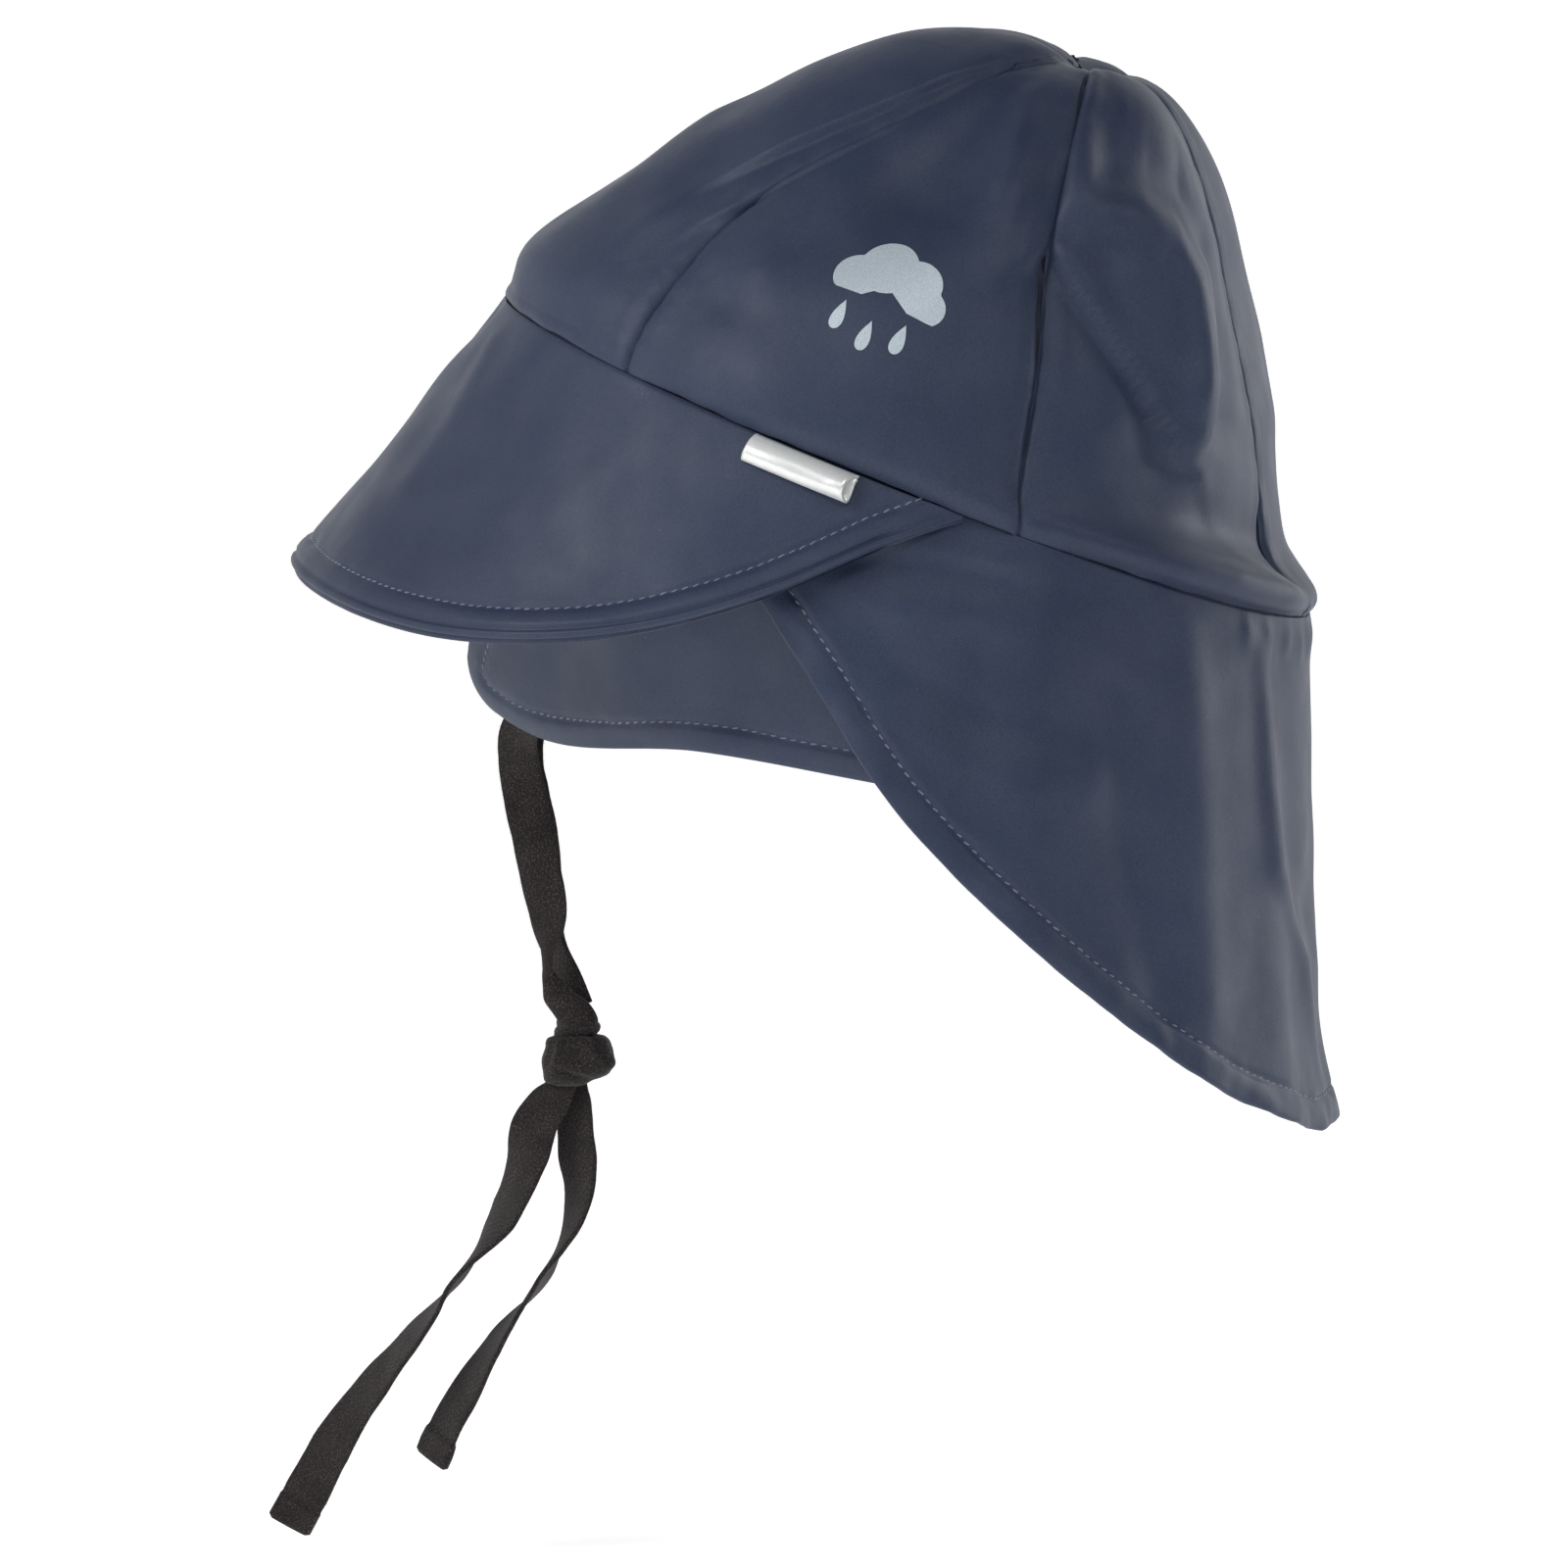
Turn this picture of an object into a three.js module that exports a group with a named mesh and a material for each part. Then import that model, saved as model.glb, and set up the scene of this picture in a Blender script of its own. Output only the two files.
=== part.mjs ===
import * as THREE from 'three';

// A child's sou'wester rain hat in coated cloth, in the form that a head gives it.
// Millimetres, +Z up. The wearer faces -Y and the wearer's left is +X.
// The origin is the middle of the head opening, in the plane of the base seam.
// Three numbers place a point on the hat itself: forward and side, in the plane of the base
// seam, and up, square to that plane. The whole hat leans back by TILT.

const { cos, sin, abs, exp, hypot, min, max, PI } = Math;
const { degToRad, radToDeg, lerp, clamp, smoothstep } = THREE.MathUtils;

// Driving dimensions.
const TILT = degToRad(21.75);
const BAND = { halfLength: 95, halfWidth: 78 };
const WALL = 1.5;
const GAP = 0.3;
// Steps between two points that give a surface's slope, in each kind of measure.
const SLOPE_STEP = { place: 0.01, angle: 0.5, depth: 0.5 };
// A hem is thicker by extra, and fades out where the cloth is less than fade.to deep.
const HEM = { width: 6.3, extra: 0.8, fade: { from: 6, to: 16 } };

// The crown's panels swell between their seams: seamShare of the swell lies inside the rib's
// own curve. The swell is the back's at 180 degrees and the front's from blend degrees off it.
const PANEL_PUFF = { front: 5.5, back: 2.2, blend: 75, power: 0.8, seamShare: 0.45 };
const DENT_FULL_FROM = 0.2;

// The curve of a rib from base to apex. Each reach is a share of the band's own size in that
// direction.
const APEX = { height: 92, shift: -6.5 };
const CROWN_RIB = [
  { height: 0, front: 1.0, side: 1.0, back: 1.0 },
  { height: 4, front: 1.01, side: 1.015, back: 0.99 },
  { height: 10, front: 1.005, side: 1.005, back: 0.885 },
  { height: 20, front: 0.945, side: 0.965, back: 0.805 },
  { height: 36, front: 0.825, side: 0.89, back: 0.697 },
  { height: 54, front: 0.7, side: 0.77, back: 0.56 },
  { height: 72, front: 0.55, side: 0.61, back: 0.42 },
  { height: 86, front: 0.375, side: 0.415, back: 0.28 },
  { height: 93, front: 0.19, side: 0.21, back: 0.15 },
  { height: 91, front: 0.016, side: 0.018, back: 0.016 },
];

// The angles of the seams between the panels, at the places of the rows above. The seams in
// the middle of the front and of the back are straight.
const CROWN_SEAMS = [
  { rightRear: -120, rightFront: -60, leftFront: 60.5, leftRear: 118.8 },
  { rightRear: -119.5, rightFront: -60, leftFront: 60, leftRear: 118 },
  { rightRear: -119, rightFront: -60, leftFront: 59.5, leftRear: 117 },
  { rightRear: -118, rightFront: -59.5, leftFront: 58.8, leftRear: 115.8 },
  { rightRear: -116.5, rightFront: -59, leftFront: 57.8, leftRear: 113.6 },
  { rightRear: -114, rightFront: -60, leftFront: 61, leftRear: 109.8 },
  { rightRear: -112, rightFront: -62, leftFront: 68, leftRear: 107 },
  { rightRear: -111, rightFront: -64, leftFront: 73.5, leftRear: 104.8 },
  { rightRear: -110, rightFront: -66, leftFront: 79, leftRear: 102.5 },
  { rightRear: -110, rightFront: -66, leftFront: 80, leftRear: 102 },
];
const STRAIGHT_SEAMS = { rightBack: -180, front: 0, leftBack: 180 };

// Dents and ridges of the crown's cloth, each along a line from one place to another.
const CROWN_FOLDS = [
  { fromAngle: 119, fromHeight: 60, toAngle: 141, toHeight: 30, width: 8, depth: 3.2 },
  { fromAngle: 92, fromHeight: 86, toAngle: 84, toHeight: 60, width: 13, depth: 3.0 },
  { fromAngle: 150, fromHeight: 30, toAngle: 150, toHeight: 55, width: 14, depth: -2.4 },
  { fromAngle: -100, fromHeight: 70, toAngle: -88, toHeight: 48, width: 13, depth: 2.6 },
];
const FOLD_MM_PER_DEGREE = 1.3;

// The peak: its cloth runs down from the base seam and outward.
const PEAK = { endAngle: 111, depth: 70, endDepth: 1.5, power: 4.4, round: 1.5 };
const PEAK_CURVE = [
  { down: 0, out: 0 },
  { down: 0.22, out: 0.076 },
  { down: 0.55, out: 0.185 },
  { down: 0.84, out: 0.288 },
  { down: 1, out: 0.347 },
];
const PEAK_SIDE_FLARE = 0.85;

// The neck flap: it hangs straight down from the seam, deepest at the back.
const NECK_START = 62;
const NECK_FLARE = {
  side: 0.09, front: 0.3, back: 0, kick: 6, kickPower: 8, fullDepth: 112,
};
const NECK_DROP = [
  { angle: 62, drop: 4 },
  { angle: 75, drop: 21 },
  { angle: 90, drop: 45 },
  { angle: 100, drop: 63 },
  { angle: 110, drop: 75 },
  { angle: 120, drop: 84 },
  { angle: 135, drop: 94.5 },
  { angle: 150, drop: 102.5 },
  { angle: 180, drop: 110 },
];
const NECK_FOLDS = [
  { angle: 166, width: 5, height: 2.2 },
  { angle: 176, width: 4, height: -1.6 },
  { angle: 194, width: 5, height: 2.0 },
  { angle: 132, width: 10, height: -1.8 },
  { angle: 228, width: 10, height: -1.8 },
];
const NECK_TUCK = { from: 112, to: 122 };
const NECK_FOLD_FADE = { from: 4, to: 60 };

// An ear flap: it runs square to the band and curls in under the jaw at its front.
const EAR = {
  frontAngle: 50, rearAngle: 125, curl: 1.7, fullDepth: 80, corner: 12, cornerShare: 0.7,
};
const EAR_ACROSS = [
  { place: 0, depth: 85, inward: 47, forward: 16 },
  { place: 0.25, depth: 86, inward: 41, forward: 13 },
  { place: 0.55, depth: 71, inward: 32, forward: 10 },
  { place: 1, depth: 58, inward: 18, forward: 6 },
];
// The right flap's tie draws it a little further forward than the left one.
const EAR_RIGHT_PULL = 5;

// The folded loop label that hangs from the base seam on the wearer's left.
const LABEL = {
  fromAngle: 84, length: 22, drop: 6.5, bulge: 2.4, cloth: 0.6, foldRise: 2.4, foldShare: 0.62,
  neck: 0.7, bulgeAt: 0.45, steps: 4, clear: 0.55, mmPerArc: 0.84,
};
const LABEL_OUTWARD = { x: 1, y: 0.08, z: 0.12 };

// The tape of the ties, and their routes. The first turn shows the flat of the tape to the
// side, and each further degree of turn twists it about its own length.
const TAPE = { width: 10, thickness: 1.1, bevel: 0.5, bevelRise: 0.3 };
const KNOT = { x: 0, y: -75.5, z: -132.6 };

// How many columns and rows of faces each sheet has, and how many steps each tape.
const GRID = {
  crown: { columns: 10, rows: 16 },
  peak: { columns: 44, rows: 8 },
  neck: { columns: 52, rows: 9 },
  ear: { columns: 16, rows: 9 },
  tie: 16,
  tailLong: 24,
  tailShort: 22,
  knotSides: 14,
};

const MATERIALS = {
  cloth: new THREE.MeshStandardMaterial({ color: 0x3f475a, roughness: 0.55, metalness: 0 }),
  tape: new THREE.MeshStandardMaterial({ color: 0x242225, roughness: 0.95, metalness: 0 }),
  label: new THREE.MeshStandardMaterial({ color: 0xc4c9c9, roughness: 0.35, metalness: 0.4 }),
};

// A point given on the hat, in the part's own frame.
function onHat(forward, side, up) {
  const y = -forward * cos(TILT) + up * sin(TILT);
  const z = forward * sin(TILT) + up * cos(TILT);
  return new THREE.Vector3(side, y, z);
}

// The value of one column of a table where its key column has the given value, on a smooth
// curve through the rows.
function smoothColumn(rows, key, name, at) {
  const last = rows.length - 1;
  const x = clamp(at, rows[0][key], rows[last][key]);
  let i = 0;
  while (i < last - 1 && x > rows[i + 1][key]) i += 1;
  const secant = (k) => (rows[k + 1][name] - rows[k][name]) / (rows[k + 1][key] - rows[k][key]);
  const slope = (k) => {
    if (k === 0) return secant(0);
    if (k === last) return secant(last - 1);
    return (secant(k - 1) + secant(k)) / 2;
  };
  const span = rows[i + 1][key] - rows[i][key];
  const f = (x - rows[i][key]) / span;
  const start = rows[i][name] * (1 + 2 * f) * (1 - f) ** 2;
  const end = rows[i + 1][name] * f * f * (3 - 2 * f);
  const bend = span * f * (1 - f) * (slope(i) * (1 - f) - slope(i + 1) * f);
  return start + end + bend;
}

// Tables without a key column are spaced evenly from 0 to 1.
function evenColumn(rows, name, place) {
  const keyed = rows.map((row, index) => ({ place: index / (rows.length - 1), value: row[name] }));
  return smoothColumn(keyed, 'place', 'value', place);
}

// The band's outline in one direction: its distance from the middle and its unit direction.
function bandAt(angle) {
  const forward = BAND.halfLength * cos(degToRad(angle));
  const side = BAND.halfWidth * sin(degToRad(angle));
  const reach = hypot(forward, side);
  return { reach, forward: forward / reach, side: side / reach };
}

// A closed body between an outer and an inner sheet, each given by columns and rows.
function wallGeometry(columns, rows, outerPoint, innerPoint) {
  const positions = [];
  const indices = [];
  const sheetSize = (columns + 1) * (rows + 1);
  for (const point of [outerPoint, innerPoint]) {
    for (let i = 0; i <= columns; i += 1) {
      for (let j = 0; j <= rows; j += 1) {
        const p = point(i / columns, j / rows);
        positions.push(p.x, p.y, p.z);
      }
    }
  }
  const id = (sheet, i, j) => sheet * sheetSize + i * (rows + 1) + j;
  const quad = (a, b, c, d) => indices.push(a, b, c, a, c, d);
  for (let i = 0; i < columns; i += 1) {
    for (let j = 0; j < rows; j += 1) {
      quad(id(0, i, j), id(0, i + 1, j), id(0, i + 1, j + 1), id(0, i, j + 1));
      quad(id(1, i, j), id(1, i, j + 1), id(1, i + 1, j + 1), id(1, i + 1, j));
    }
    quad(id(0, i, 0), id(1, i, 0), id(1, i + 1, 0), id(0, i + 1, 0));
    quad(id(0, i, rows), id(0, i + 1, rows), id(1, i + 1, rows), id(1, i, rows));
  }
  for (let j = 0; j < rows; j += 1) {
    quad(id(0, 0, j), id(0, 0, j + 1), id(1, 0, j + 1), id(1, 0, j));
    quad(id(0, columns, j), id(1, columns, j), id(1, columns, j + 1), id(0, columns, j + 1));
  }
  return facingOut(positions, indices);
}

// A closed body through rings of points, with a flat fan over each end.
function loftGeometry(rings) {
  const positions = [];
  const indices = [];
  const sides = rings[0].length;
  for (const ring of rings) {
    for (const p of ring) positions.push(p.x, p.y, p.z);
  }
  for (let i = 0; i < rings.length - 1; i += 1) {
    for (let j = 0; j < sides; j += 1) {
      const a = i * sides + j;
      const b = i * sides + ((j + 1) % sides);
      indices.push(a, b, b + sides, a, b + sides, a + sides);
    }
  }
  const top = rings.length * sides;
  const lastRing = (rings.length - 1) * sides;
  for (const ring of [rings[0], rings[rings.length - 1]]) {
    const centre = ring.reduce((sum, p) => sum.add(p), new THREE.Vector3()).divideScalar(sides);
    positions.push(centre.x, centre.y, centre.z);
  }
  for (let j = 0; j < sides; j += 1) {
    const next = (j + 1) % sides;
    indices.push(top, next, j);
    indices.push(top + 1, lastRing + j, lastRing + next);
  }
  return facingOut(positions, indices);
}

// The same triangles, turned over if they face inward.
function facingOut(positions, indices) {
  const corner = (k) => new THREE.Vector3().fromArray(positions, 3 * indices[k]);
  let volume = 0;
  for (let k = 0; k < indices.length; k += 3) {
    volume += corner(k).dot(corner(k + 1).cross(corner(k + 2)));
  }
  const geometry = new THREE.BufferGeometry();
  geometry.setAttribute('position', new THREE.Float32BufferAttribute(positions, 3));
  geometry.setIndex(volume > 0 ? indices : indices.slice().reverse());
  geometry.computeVertexNormals();
  return geometry;
}

function meshOf(name, geometry, material) {
  const mesh = new THREE.Mesh(geometry, material);
  mesh.name = name;
  return mesh;
}

// How far the crown's cloth is pushed in by its dents at one place.
function crownDent(angle, height) {
  let total = 0;
  for (const fold of CROWN_FOLDS) {
    const turn = ((angle - fold.fromAngle + 540) % 360) - 180;
    const line = new THREE.Vector2(fold.toAngle - fold.fromAngle, 0);
    line.x *= FOLD_MM_PER_DEGREE;
    line.y = fold.toHeight - fold.fromHeight;
    const here = new THREE.Vector2(turn * FOLD_MM_PER_DEGREE, height - fold.fromHeight);
    const along = clamp(here.dot(line) / line.lengthSq(), 0, 1);
    const distance = here.sub(line.multiplyScalar(along)).length();
    total += fold.depth * exp(-((distance / fold.width) ** 2));
  }
  return total;
}

// The rib's radius and height above the seam at one place, before puffs and dents.
function crownRib(angle, place) {
  const endwise = cos(degToRad(angle)) ** 2;
  const end = cos(degToRad(angle)) > 0 ? 'front' : 'back';
  const reach = endwise * evenColumn(CROWN_RIB, end, place)
    + (1 - endwise) * evenColumn(CROWN_RIB, 'side', place);
  return { radius: bandAt(angle).reach * reach, height: evenColumn(CROWN_RIB, 'height', place) };
}

// A point of the crown's outside, or that far inside it. The panel's cloth swells between its
// seams: midShare is 0 on a seam and 1 on the panel's middle.
function crownPoint(angle, place, midShare, inset) {
  const before = crownRib(angle, max(place - SLOPE_STEP.place, 0));
  const after = crownRib(angle, min(place + SLOPE_STEP.place, 1));
  const rib = crownRib(angle, place);
  const run = new THREE.Vector2(after.radius - before.radius, after.height - before.height);
  run.normalize();
  const { front, back, blend, power, seamShare } = PANEL_PUFF;
  const puff = lerp(back, front, smoothstep(180 - abs(angle), 0, blend));
  const swell = puff * sin(PI * place ** power) ** power * (midShare - seamShare);
  const out = swell - crownDent(angle, rib.height) * smoothstep(place, 0, DENT_FULL_FROM) - inset;
  const radius = rib.radius + out * run.y;
  const height = rib.height - out * run.x;
  const band = bandAt(angle);
  const shift = APEX.shift * (height / APEX.height);
  return onHat(band.forward * radius + shift, band.side * radius, height);
}

function seamAngle(seam, place) {
  if (seam in STRAIGHT_SEAMS) return STRAIGHT_SEAMS[seam];
  return evenColumn(CROWN_SEAMS, seam, place);
}

function crownPanel(seams) {
  const { columns, rows } = GRID.crown;
  const point = (s, t, inset) => {
    const [from, to] = seams.map((seam) => seamAngle(seam, t));
    const slit = radToDeg(GAP / 2 / crownRib(from, t).radius);
    const angle = lerp(from + slit, to - slit, s);
    return crownPoint(angle, t, sin(PI * s) ** PANEL_PUFF.power, inset);
  };
  return wallGeometry(columns, rows, (s, t) => point(s, t, 0), (s, t) => point(s, t, WALL));
}

// A hemmed sheet of cloth. The surface gives a point for an angle and a depth, and edge gives
// the depth of its free edge at an angle. The body lies on the head's side of the surface.
function hemmedSheet({ columns, rows }, angleAt, surface, edge) {
  const inner = (s, t) => {
    const angle = angleAt(s);
    const depth = edge(angle) * t;
    const across = surface(angle + SLOPE_STEP.angle, depth)
      .sub(surface(angle - SLOPE_STEP.angle, depth));
    const down = surface(angle, depth + SLOPE_STEP.depth)
      .sub(surface(angle, max(depth - SLOPE_STEP.depth, 0)));
    const normal = across.cross(down).normalize();
    const inward = normal.dot(surface(angle, depth).setZ(0)) > 0 ? -1 : 1;
    const hemTop = edge(angle) - HEM.width;
    const hem = smoothstep(depth, hemTop - 1, hemTop + 1) * smoothstep(depth, HEM.fade.from, HEM.fade.to);
    const thickness = WALL + HEM.extra * hem;
    return surface(angle, depth).addScaledVector(normal, inward * thickness);
  };
  return wallGeometry(columns, rows, (s, t) => surface(angleAt(s), edge(angleAt(s)) * t), inner);
}

function peakDepth(angle) {
  const share = 1 - clamp(abs(angle) / PEAK.endAngle, 0, 1) ** PEAK.power;
  return PEAK.endDepth + (PEAK.depth - PEAK.endDepth) * share ** PEAK.round;
}

function peakPoint(angle, depth) {
  const band = bandAt(angle);
  const full = peakDepth(angle);
  const flare = lerp(PEAK_SIDE_FLARE, 1, cos(degToRad(angle)) ** 2);
  const rows = PEAK_CURVE;
  const out = smoothColumn(rows, 'down', 'out', depth / full) * full * flare;
  const radius = band.reach + out;
  return onHat(band.forward * radius, band.side * radius, -GAP - depth);
}

function neckDepth(angle) {
  return smoothColumn(NECK_DROP, 'angle', 'drop', angle <= 180 ? angle : 360 - angle);
}

function neckPoint(angle, depth) {
  const mirrored = angle <= 180 ? angle : 360 - angle;
  const band = bandAt(angle);
  const tuck = (WALL + GAP) * (1 - smoothstep(mirrored, NECK_TUCK.from, NECK_TUCK.to));
  const radius = band.reach - tuck;
  const outward = onHat(cos(degToRad(angle)) / BAND.halfLength,
    sin(degToRad(angle)) / BAND.halfWidth, 0).setZ(0).normalize();
  const sideways = sin(degToRad(mirrored)) ** 2;
  const slope = lerp(NECK_FLARE.back, NECK_FLARE.side, sideways)
    + NECK_FLARE.front * max(0, -outward.y);
  const kick = NECK_FLARE.kick * (depth / NECK_FLARE.fullDepth) ** NECK_FLARE.kickPower;
  let fold = 0;
  for (const row of NECK_FOLDS) {
    fold += row.height * exp(-(((angle - row.angle) / row.width) ** 2));
  }
  const reach = slope * depth + kick + fold * smoothstep(depth, NECK_FOLD_FADE.from, NECK_FOLD_FADE.to);
  const start = onHat(band.forward * radius, band.side * radius, -GAP);
  return start.add(new THREE.Vector3(0, 0, -depth)).addScaledVector(outward, reach);
}

function earPlace(angle) {
  return (abs(angle) - EAR.frontAngle) / (EAR.rearAngle - EAR.frontAngle);
}

// The free edge, with a round corner at each end.
function earDepth(angle) {
  const place = earPlace(angle);
  const full = smoothColumn(EAR_ACROSS, 'place', 'depth', place);
  const along = degToRad(EAR.rearAngle - EAR.frontAngle) * BAND.halfWidth;
  const fromEnd = max(0, EAR.corner - min(place, 1 - place) * along);
  return full - EAR.corner + Math.sqrt(EAR.corner ** 2 - min(fromEnd, EAR.corner) ** 2);
}

function earPoint(angle, depth) {
  const place = earPlace(angle);
  const band = bandAt(angle);
  const radius = band.reach - 2 * (WALL + GAP);
  const share = depth / EAR.fullDepth;
  const curl = smoothColumn(EAR_ACROSS, 'place', 'inward', place) * share ** EAR.curl;
  const pull = angle < 0 ? EAR_RIGHT_PULL : 0;
  const ahead = (smoothColumn(EAR_ACROSS, 'place', 'forward', place) + pull) * share;
  const side = band.side * radius - Math.sign(angle) * curl;
  return onHat(band.forward * radius + ahead, side, -GAP - depth);
}

// A flat tape along a route. Its frames are set by the turn of each point of the route, so
// that the tape lies and twists as woven tape does.
class TapeRoute extends THREE.CatmullRomCurve3 {
  constructor(route) {
    super(route.map((row) => new THREE.Vector3(row.x, row.y, row.z)), false, 'centripetal');
    this.route = route;
  }

  computeFrenetFrames(segments) {
    const tangents = [];
    const normals = [];
    const binormals = [];
    for (let i = 0; i <= segments; i += 1) {
      const place = this.getUtoTmapping(i / segments);
      const tangent = this.getTangent(place);
      const turn = degToRad(evenColumn(this.route, 'turn', place));
      const across = new THREE.Vector3(0, 1, 0).addScaledVector(tangent, -tangent.y);
      across.normalize().applyAxisAngle(tangent, turn);
      tangents.push(tangent);
      normals.push(across);
      binormals.push(tangent.clone().cross(across));
    }
    return { tangents, normals, binormals };
  }
}

function tapeGeometry(route, steps) {
  const edge = TAPE.width / 2;
  const face = TAPE.thickness / 2;
  const faceEnd = edge - TAPE.bevel;
  const edgeEnd = face - TAPE.bevelRise;
  const section = new THREE.Shape([
    new THREE.Vector2(-edge, -edgeEnd),
    new THREE.Vector2(-faceEnd, -face),
    new THREE.Vector2(faceEnd, -face),
    new THREE.Vector2(edge, -edgeEnd),
    new THREE.Vector2(edge, edgeEnd),
    new THREE.Vector2(faceEnd, face),
    new THREE.Vector2(-faceEnd, face),
    new THREE.Vector2(-edge, edgeEnd),
  ]);
  return new THREE.ExtrudeGeometry(section, { steps, extrudePath: new TapeRoute(route) });
}

// Routes of the ties: the points a tape's middle passes, from its upper to its lower end.
const TIE_LEFT_ROUTE = [
  { x: 26.4, y: -76.3, z: -46.2, turn: 40 },
  { x: 20.1, y: -80.1, z: -52.3, turn: 40 },
  { x: 13.4, y: -83.9, z: -58.8, turn: 38 },
  { x: 9.4, y: -86.4, z: -64.6, turn: 18 },
  { x: 7.9, y: -86.5, z: -69.7, turn: 4 },
  { x: 6.9, y: -85.4, z: -76.5, turn: -4 },
  { x: 5.9, y: -83.9, z: -84.5, turn: -8 },
  { x: 5.1, y: -82.7, z: -92.6, turn: -4 },
  { x: 4.4, y: -82.1, z: -99.5, turn: 14 },
  { x: 3.7, y: -81.8, z: -106, turn: 28 },
  { x: 3, y: -80.4, z: -111.8, turn: 36 },
  { x: 2.2, y: -78, z: -117.4, turn: 26 },
  { x: 1.2, y: -76, z: -123.4, turn: 10 },
];
const TIE_RIGHT_ROUTE = [
  { x: -26.4, y: -80.7, z: -44.6, turn: -40 },
  { x: -20.1, y: -84.8, z: -50.5, turn: -41 },
  { x: -13.4, y: -88.9, z: -56.8, turn: -39 },
  { x: -9.8, y: -91.6, z: -62.8, turn: -20 },
  { x: -7.8, y: -91.2, z: -69.4, turn: -4 },
  { x: -6.7, y: -89.4, z: -76.6, turn: -4 },
  { x: -5.8, y: -87.2, z: -84.6, turn: -8 },
  { x: -5, y: -86, z: -92.8, turn: -4 },
  { x: -4.3, y: -84.9, z: -99.7, turn: 14 },
  { x: -3.7, y: -83.7, z: -106.2, turn: 28 },
  { x: -3, y: -81.4, z: -112, turn: 36 },
  { x: -2.3, y: -78.6, z: -117.5, turn: 26 },
  { x: -1.4, y: -75.9, z: -123.4, turn: 10 },
];
const TAIL_LONG_ROUTE = [
  { x: 1.8, y: -80, z: -143, turn: 10 },
  { x: 2.4, y: -83, z: -146.2, turn: 8 },
  { x: 2.6, y: -85.2, z: -150.2, turn: 6 },
  { x: 2.4, y: -86.8, z: -156.5, turn: 28 },
  { x: 2.2, y: -89.2, z: -163.1, turn: 40 },
  { x: 2.1, y: -92.6, z: -169.8, turn: 52 },
  { x: 1.9, y: -96.8, z: -175.5, turn: 68 },
  { x: 1.7, y: -100.9, z: -181.1, turn: 82 },
  { x: 1.5, y: -104.3, z: -185.6, turn: 85 },
  { x: 1.3, y: -107.6, z: -190.2, turn: 76 },
  { x: 1.1, y: -113.6, z: -197, turn: 64 },
  { x: 0.9, y: -119.3, z: -203.8, turn: 55 },
  { x: 0.7, y: -125, z: -210.7, turn: 42 },
  { x: 0.6, y: -130, z: -217.5, turn: 30 },
  { x: 0.4, y: -134.4, z: -224.4, turn: 18 },
  { x: 0.2, y: -138.1, z: -231.2, turn: 2 },
  { x: 0, y: -144.2, z: -242, turn: -10 },
];
const TAIL_SHORT_ROUTE = [
  { x: -2, y: -77.4, z: -141.2, turn: 24 },
  { x: -2.1, y: -77.3, z: -146.2, turn: 24 },
  { x: -2, y: -77, z: -150.1, turn: 24 },
  { x: -2, y: -76.5, z: -156.6, turn: 30 },
  { x: -2, y: -76.1, z: -163.2, turn: 42 },
  { x: -2, y: -77.4, z: -169.8, turn: 54 },
  { x: -2, y: -79.7, z: -175.3, turn: 70 },
  { x: -2, y: -82.7, z: -180.9, turn: 82 },
  { x: -2, y: -85.3, z: -185.4, turn: 84 },
  { x: -2, y: -88.7, z: -189.9, turn: 80 },
  { x: -2, y: -94.3, z: -196.7, turn: 64 },
  { x: -2, y: -98.8, z: -203.5, turn: 56 },
  { x: -2, y: -102.9, z: -210.2, turn: 46 },
  { x: -2, y: -107, z: -217, turn: 42 },
  { x: -2, y: -111, z: -226, turn: 30 },
];

// The knot's outer form, from its upper collar to where the tails leave it.
const KNOT_LEVELS = [
  { level: 7.8, width: 8.2, depth: 6.5, shift: 0 },
  { level: 4.4, width: 8.8, depth: 7.5, shift: 0 },
  { level: 3.8, width: 12, depth: 9.5, shift: 0.2 },
  { level: 0.5, width: 15, depth: 11, shift: 0.2 },
  { level: -2.5, width: 16.2, depth: 11.5, shift: 0.2 },
  { level: -5.5, width: 13.5, depth: 10, shift: -0.8 },
  { level: -8.2, width: 9.6, depth: 7, shift: -2 },
];

function knotGeometry() {
  const sides = GRID.knotSides;
  const rings = KNOT_LEVELS.map((row) => Array.from({ length: sides }, (unused, k) => {
    const turn = (2 * PI * k) / sides;
    const x = KNOT.x + (row.depth / 2) * cos(turn);
    const y = KNOT.y + row.shift + (row.width / 2) * sin(turn);
    return new THREE.Vector3(x, y, KNOT.z + row.level);
  }));
  return loftGeometry(rings);
}

// The label is a flat loop of ribbon: a closed strip whose fold hangs down, open at both
// ends, bent along the seam. Its outline here is given that far inside its outer face.
function labelOutline(inset) {
  const points = [];
  const turns = 10;
  const half = LABEL.bulge / 2 - inset;
  const fold = LABEL.foldRise - inset;
  for (let k = 0; k <= turns; k += 1) {
    const turn = (PI * k) / turns;
    const wide = half * lerp(LABEL.foldShare, 1, sin(turn));
    points.push(new THREE.Vector2(-wide * cos(turn), LABEL.foldRise - LABEL.drop - fold * sin(turn)));
  }
  const bulgeY = -LABEL.drop * LABEL.bulgeAt;
  const neck = LABEL.neck - inset / 2;
  const top = -GAP - 2 * inset;
  points.push(new THREE.Vector2(half, bulgeY));
  points.push(new THREE.Vector2(neck, top));
  points.push(new THREE.Vector2(-neck, top));
  points.push(new THREE.Vector2(-half, bulgeY));
  return points;
}

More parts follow.
